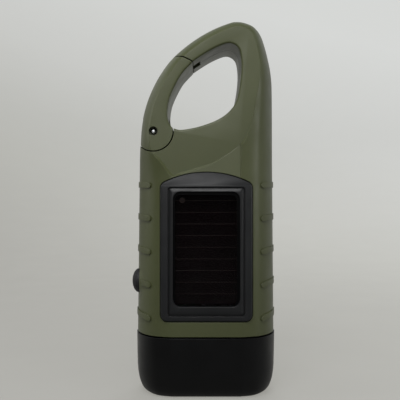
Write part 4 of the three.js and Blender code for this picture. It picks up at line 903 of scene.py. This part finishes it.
def make_panel(materials):
    """The bezel with its groove and raised frame, and the border and seal under the pane. The black border is
    partly the cell's dark edge and partly painted shade in the pane's recess, widest at the top.
    """
    front = -HALF_DEPTH - BEZEL_PROUD
    flange_front = -HALF_DEPTH + WALL + FIT
    flange_back = flange_front + FLANGE_THICKNESS
    plate = rounded(slab(bezel_outline(0), front, flange_front + 0.5), 0.5, 4)
    plate = joined(plate, slab(bezel_outline(BEZEL_FLANGE), flange_front, flange_back))
    head = BEZEL_SHOULDER - 1

    def frame_line(inset, corner):
        return rounded_rectangle(
            PANEL_X - BEZEL_HALF_WIDTH + FRAME_SIDE + inset, PANEL_X + BEZEL_HALF_WIDTH - FRAME_SIDE - inset,
            BEZEL_BOTTOM + FRAME_FOOT + inset, head - inset, corner,
        )

    trench = slab(frame_line(0, 1.0), front - 3, front + 1.2)
    raised = skinned([
        [(p.x, y, p.y) for p in frame_line(inset, corner)]
        for y, inset, corner in ((flange_front, 0.45, 0.8), (front + 0.5, 0.45, 0.8), (front, 1.55, 0.4))
    ])
    foot, top = head + 0.3, BEZEL_TOP + 0.4
    hood = skinned([
        [(x, front, foot), (x, front + 0.55, top), (x, front - 4, top), (x, front - 4, foot)]
        for x in (-HALF_WIDTH, HALF_WIDTH)
    ])
    opening = slab(opening_outline(0), front - 1, flange_back + 1)
    pocket = slab(panel_outline(PANE_LAP + FIT), front + 1.5, flange_back + 3)
    bezel = cut(joined(cut(plate, hood, trench), raised), opening, pocket)
    finished(bezel, "panel_bezel", "case", materials["black_plastic"], ["solar_bezel"])
    # Black border between the opening and the clear pane: partly the cell's dark edge, partly painted shade
    # in the recess.
    border = cut(
        slab(opening_outline(-0.05), front + 1.2, front + 1.45), slab(panel_outline(0), front, flange_back),
    )
    finished(border, "pane_border_painted_shade", "case", materials["border_black"], ())
    seal_front = front + 2.9
    seal = cut(
        slab(panel_outline(PANE_LAP), seal_front, seal_front + 0.5),
        slab(panel_outline(0.35), front, seal_front + 2),
    )
    finished(seal, "pane_seal", "case", materials["black_rubber"], ["solar_gasket"])


def make_head(materials):
    """The head, rounded at its foot, with a collar that goes up into the case."""
    rings = [(share * HEAD_HEIGHT, -inset * HALF_WIDTH) for share, inset in HEAD_SHARES]
    rings.append((HEAD_HEIGHT, 0.3))
    outer = skinned([[(p.x, p.y, z) for p in plan_outline(growth)] for z, growth in rings])
    collar = column(plan_outline(-WALL - FIT), HEAD_HEIGHT - 3, HEAD_HEIGHT + 2.4)
    mouth = column(plan_outline(-4.6), -3, 4.4)
    room = column(plan_outline(-HEAD_WALL), 1.4, HEAD_HEIGHT - 3)
    throat = column(plan_outline(-WALL - FIT - 1.6), 1.4, HEAD_HEIGHT + 6)
    head = cut(joined(outer, collar), mouth, room, throat)
    finished(head, "head_case", "case", materials["head_black"], ["head_shell"])


def make_lamps(materials):
    """The lens, the reflector with its three cups, and a domed lamp in each."""
    within = plan_outline(-HEAD_WALL - FIT)
    lens = rounded(column(within, 1.7, 3.5), 0.2, 2)
    finished(lens, "head_lens", "case", materials["clear_window"], ["lens"])
    bottom, top, mouth, throat, wall = 5.0, 15.7, 6.4, 3.1, 0.8
    bowl = []
    for i in range(13):
        radius = mouth + (throat - mouth) * i / 12
        fall = (mouth ** 2 - radius ** 2) / (mouth ** 2 - throat ** 2)
        bowl.append((radius, bottom + fall * (top - bottom)))
    outside = [(r + wall, z + 0.001) for r, z in bowl[1:-1]]
    cup = [(0, bottom + 0.1), *outside, (throat + wall, top), (0, top)]
    hollow = [(0, bottom - 3), (mouth, bottom - 3), *bowl, (throat, top + 3), (0, top + 3)]
    cups = [turned(cup, (x, 0), "Z") for x in LAMPS.values()]
    hollows = [turned(hollow, (x, 0), "Z") for x in LAMPS.values()]
    plate = column(within, bottom, bottom + 1.2)
    reflector = cut(joined(plate, *cups), *hollows)
    chrome = materials["reflector_chrome"]
    finished(reflector, "lamp_reflector", "case", chrome, ["reflector"])
    dome = [(2.4 * sin(i * pi / 16), 14.2 - 2.4 * cos(i * pi / 16)) for i in range(9)]
    for node, x in LAMPS.items():
        lamp = turned([*dome, (2.4, 15.4), (2.7, 15.4), (2.7, 15.9), (0, 15.9)], (x, 0), "Z", 48)
        finished(lamp, node + "_dome", "case", materials["lamp_plastic"], [node])


def make_button(materials):
    """The domed button, with fine rings on its face and a collar that keeps it in."""
    dome = []
    for i in range(25):
        angle = i / 24 * pi / 2
        ripple = 0.12 * (i % 6 == 3)
        dome.append((BUTTON_RADIUS * sin(angle), BUTTON_FACE + ripple + 2.4 * (1 - cos(angle))))
    inner = -HALF_WIDTH + WALL + 0.4
    profile = [
        *dome, (BUTTON_RADIUS, inner), (BUTTON_COLLAR, inner), (BUTTON_COLLAR, inner + 0.8),
        (1.3, inner + 0.8), (1.3, inner + 2.4), (0, inner + 2.4),
    ]
    button = turned(profile, BUTTON_PLACE, "X")
    finished(button, "push_button", "button", materials["black_rubber"], ["button_cap"])


# Pin, crank and screws.

def make_pin(materials):
    """The gate's hinge pin, with a rounded bead at each end."""
    end = LOOP_HALF_DEPTH - PIN_SINK + PIN_PROUD
    rounding = ((0, 0), (0.4, 0.01), (0.64, 0.05), (0.76, 0.14), (PIN_RADIUS, 0.3))
    bead = [(radius, -end + depth) for radius, depth in rounding]
    profile = bead + [(radius, -y) for radius, y in reversed(bead)]
    pin = turned(profile, PIN, "Y", 32)
    finished(pin, "gate_hinge_pin", "case", materials["steel"], ["gate_pin"])


def cross_slots(place, reach, half_width, low, high):
    """The two cutters of a cross slot in the head of a screw."""
    x, z = place
    return [
        block(x - reach, x + reach, low, high, z - half_width, z + half_width),
        block(x - half_width, x + half_width, low, high, z - reach, z + reach),
    ]


def make_crank(materials):
    """The crank's slotted arm, and the screw that holds it."""
    black, steel = materials["black_plastic"], materials["steel"]
    hub = drum(HUB, HUB_RADIUS, ARM_BOTTOM, ARM_TOP)
    bar = block(-ARM_HALF_WIDTH, ARM_HALF_WIDTH, ARM_BOTTOM, ARM_TOP, HUB_Z, ARM_TIP_Z)
    tip = drum((0, ARM_TIP_Z), ARM_HALF_WIDTH, ARM_BOTTOM, ARM_TOP)
    flat = rounded(joined(hub, bar, tip), 0.8, 4, 60)
    slot = block(
        -ARM_SLOT_HALF_WIDTH, ARM_SLOT_HALF_WIDTH, ARM_BOTTOM - 3, ARM_TOP + 3,
        HUB_Z + 6.4, FOLD_Z + KNOB_RADIUS + FIT,
    )
    shaft_top = ARM_TOP - 1.6
    socket = drum(HUB, SOCKET_RADIUS, ARM_BOTTOM - 3, shaft_top, steps=6)
    head_room = drum(HUB, LEVER_SCREW_HEAD + FIT, shaft_top, ARM_TOP + 3, steps=64)
    pin_hole = drum((KNOB_AXIS, FOLD_Z), FOLD_PIN_HOLE, -5.5, 5.5, "X", 32)
    arm = cut(flat, slot, socket, head_room, pin_hole)
    finished(arm, "crank_lever", "crank", black, ["crank_arm"])
    screw = turned([
        (0, 7.5), (1, 7.5), (1, shaft_top + FIT), (LEVER_SCREW_HEAD, shaft_top + FIT),
        (LEVER_SCREW_HEAD, shaft_top + 0.9), (LEVER_SCREW_HEAD - 0.3, shaft_top + 1.3), (0, shaft_top + 1.3),
    ], HUB, "Y")
    cross = cross_slots(HUB, 2.1, 0.4, shaft_top + 0.8, ARM_TOP + 3)
    finished(cut(screw, *cross), "lever_screw", "crank", steel, ["crank_screw"])


def make_knob(materials):
    """The knob's sleeve, with grooves for the fingers."""
    low, high = HUB_Z + 6.9, FOLD_Z - KNOB_RADIUS - FIT
    profile = [(1.3, high), (1.3, low + 1.6), (2, low + 1.6), (2, low)]
    profile += [(2.5, low), (2.78, low + 0.15), (KNOB_RADIUS, low + 0.5)]
    pitch = (high - low - 2) / KNOB_GROOVES
    for i in range(KNOB_GROOVES):
        z = low + 1 + pitch * (i + 0.5)
        profile += [(KNOB_RADIUS, z - 0.45), (2.62, z - 0.2), (2.62, z + 0.2), (KNOB_RADIUS, z + 0.45)]
    profile += [(KNOB_RADIUS, high - 0.5), (2.78, high - 0.15), (2.5, high), (1.3, high)]
    grip = turned(profile, (0, KNOB_AXIS), "Z", 64)
    finished(grip, "knob_grip", "crank_knob", materials["black_plastic"], ["knob"])


def make_screws(materials):
    """The four screws of the case, with cross slots."""
    seat = SCREW_SEAT + FIT
    profile = [
        (0, SCREW_END), (0.6, SCREW_END), (SCREW_SHANK, SCREW_END + 0.6), (SCREW_SHANK, seat),
        (SCREW_HEAD, seat), (SCREW_HEAD, seat + 0.7), (SCREW_HEAD - 0.3, seat + 1.1), (0, seat + 1.2),
    ]
    for number, place in enumerate(SCREWS, 1):
        node = f"case_screw_{number}"
        screw = cut(turned(profile, place, "Y", 48), *cross_slots(place, 1.2, 0.25, seat + 0.5, seat + 3))
        finished(screw, node + "_cross", "case", materials["steel"], [node])


# Paper, lights and camera.

def paper_material():
    """Pale paper that the camera sees by its own light, with painted light and shade: lighter far off, high
    up and to the right.

    Where it lies behind the flashlight it shows by that light in gloss and through glass too.
    """
    paper = new_material("pale_paper", (0.16, 0.16, 0.157), 0.8)
    place = add_node(paper, "ShaderNodeTexCoord").outputs["Object"]
    split = add_node(paper, "ShaderNodeSeparateXYZ")
    link(paper, place, split.inputs["Vector"])
    away = add_node(paper, "ShaderNodeVectorMath", operation="LENGTH")
    link(paper, place, away.inputs[0])
    risen = maths(paper, "MULTIPLY_ADD", split.outputs["Z"], PAPER_RISE, away.outputs["Value"])
    slanted = maths(paper, "MULTIPLY_ADD", split.outputs["X"], PAPER_SLANT, risen)
    height = add_node(paper, "ShaderNodeMapRange", **{"From Min": 0.0, "From Max": PAPER_REACH})
    link(paper, slanted, height.inputs["Value"])
    # The ramp paints the room's light and shade, as it falls off, into the paper's glow.
    ramp = add_node(paper, "ShaderNodeValToRGB")
    tones = ramp.color_ramp.elements
    tones[0].color, tones[1].color = (*PAPER_LIGHT_AND_SHADE_TONES[0][1], 1), (*PAPER_LIGHT_AND_SHADE_TONES[-1][1], 1)
    for position, tone in PAPER_LIGHT_AND_SHADE_TONES[1:-1]:
        tones.new(position).color = (*tone, 1)
    link(paper, height.outputs["Result"], ramp.inputs["Fac"])
    link(paper, ramp.outputs["Color"], surface(paper).inputs["Emission Color"])
    behind = add_node(paper, "ShaderNodeMapRange", **{"From Min": -0.05, "From Max": 0.04, "To Max": 0.85})
    link(paper, split.outputs["Y"], behind.inputs["Value"])
    rays = add_node(paper, "ShaderNodeLightPath").outputs
    mirrored = maths(paper, "MAXIMUM", rays["Is Glossy Ray"], rays["Is Transmission Ray"])
    rear = maths(paper, "MULTIPLY", mirrored, behind.outputs["Result"])
    seen = maths(paper, "MAXIMUM", rays["Is Camera Ray"], rear)
    link(paper, seen, surface(paper).inputs["Emission Strength"])
    vary_roughness(paper, noise_on(paper, 30, 4), 0.75, 0.88)
    return paper


def make_stage():
    """A pale floor that sweeps up all round."""
    flat, reach, top, steps = 350, 1400, 1100, 16
    bend = reach - flat
    line = [(0, 0), (flat, 0)]
    for i in range(1, steps + 1):
        angle = i / steps * pi / 2
        line.append((flat + bend * sin(angle), bend * (1 - cos(angle))))
    line.append((reach, top))
    floor = turned(line, (0, 0), "Z", 96)
    floor.name = floor.data.name = "floor_sweep"
    floor.data.transform(Matrix.Scale(MM, 4))
    floor.data.shade_smooth()
    floor.data.materials.append(paper_material())


def make_lights():
    """Soft light from above, both sides and behind, in a room that is darker in front."""
    world = bpy.data.worlds.new("room")
    world.use_nodes = True
    nodes, links = world.node_tree.nodes, world.node_tree.links
    sky = nodes["Background"]
    sky.inputs["Color"].default_value = (0.93, 0.97, 1.0, 1)
    split, spread = nodes.new("ShaderNodeSeparateXYZ"), nodes.new("ShaderNodeMapRange")
    spread.inputs["From Min"].default_value, spread.inputs["From Max"].default_value = -1, -0.25
    spread.inputs["To Min"].default_value, spread.inputs["To Max"].default_value = 0.035, 0.24
    links.new(nodes.new("ShaderNodeTexCoord").outputs["Generated"], split.inputs["Vector"])
    links.new(split.outputs["Y"], spread.inputs["Value"])
    links.new(spread.outputs["Result"], sky.inputs["Strength"])
    bpy.context.scene.world = world
    for name, place, size, watts, shows_in_gloss in LIGHTS:
        lamp = bpy.data.lights.new(name, "AREA")
        lamp.size, lamp.energy = size, watts
        obj = bpy.data.objects.new(name, lamp)
        bpy.context.scene.collection.objects.link(obj)
        obj.location = place
        obj.visible_glossy = shows_in_gloss
        obj.rotation_mode = "QUATERNION"
        obj.rotation_quaternion = (Vector(LIGHTS_AIM) - Vector(place)).to_track_quat("-Z", "Y")


def make_camera():
    """In front, level with the top of the panel, and shifted instead of tilted to frame the case."""
    camera = bpy.data.cameras.new("camera")
    camera.sensor_width = 36
    camera.lens = camera.sensor_width * FOCAL_PIXELS / PHOTO_PIXELS
    camera.clip_start = 0.01
    obj = bpy.data.objects.new("camera", camera)
    bpy.context.scene.collection.objects.link(obj)
    obj.location = [value * MM for value in CAMERA_PLACE]
    obj.rotation_euler = (pi / 2, 0, 0)
    camera.shift_x, camera.shift_y = SHIFT_PIXELS[0] / PHOTO_PIXELS, SHIFT_PIXELS[1] / PHOTO_PIXELS
    bpy.context.scene.camera = obj


def dress_nodes(materials):
    """Gives every solid of the frame its finish."""
    slots = {part["node"]: part["material_slot"] for part in frame["record"]["subparts"]}
    for name, obj in frame["nodes"].items():
        material = materials["coated_pane" if name == "solar_window" else slots[name]]
        if not obj.material_slots:
            obj.data.materials.append(material)
        for holder in obj.material_slots:
            holder.link = "OBJECT"
            holder.material = material


bpy.context.scene.view_settings.view_transform = "Standard"
make_camera()
make_lights()
make_stage()
materials = make_materials()
dress_nodes(materials)
make_case(materials)
make_ribs(materials["olive_plastic"])
make_panel(materials)
make_head(materials)
make_lamps(materials)
make_button(materials)
make_pin(materials)
make_crank(materials)
make_knob(materials)
make_screws(materials)
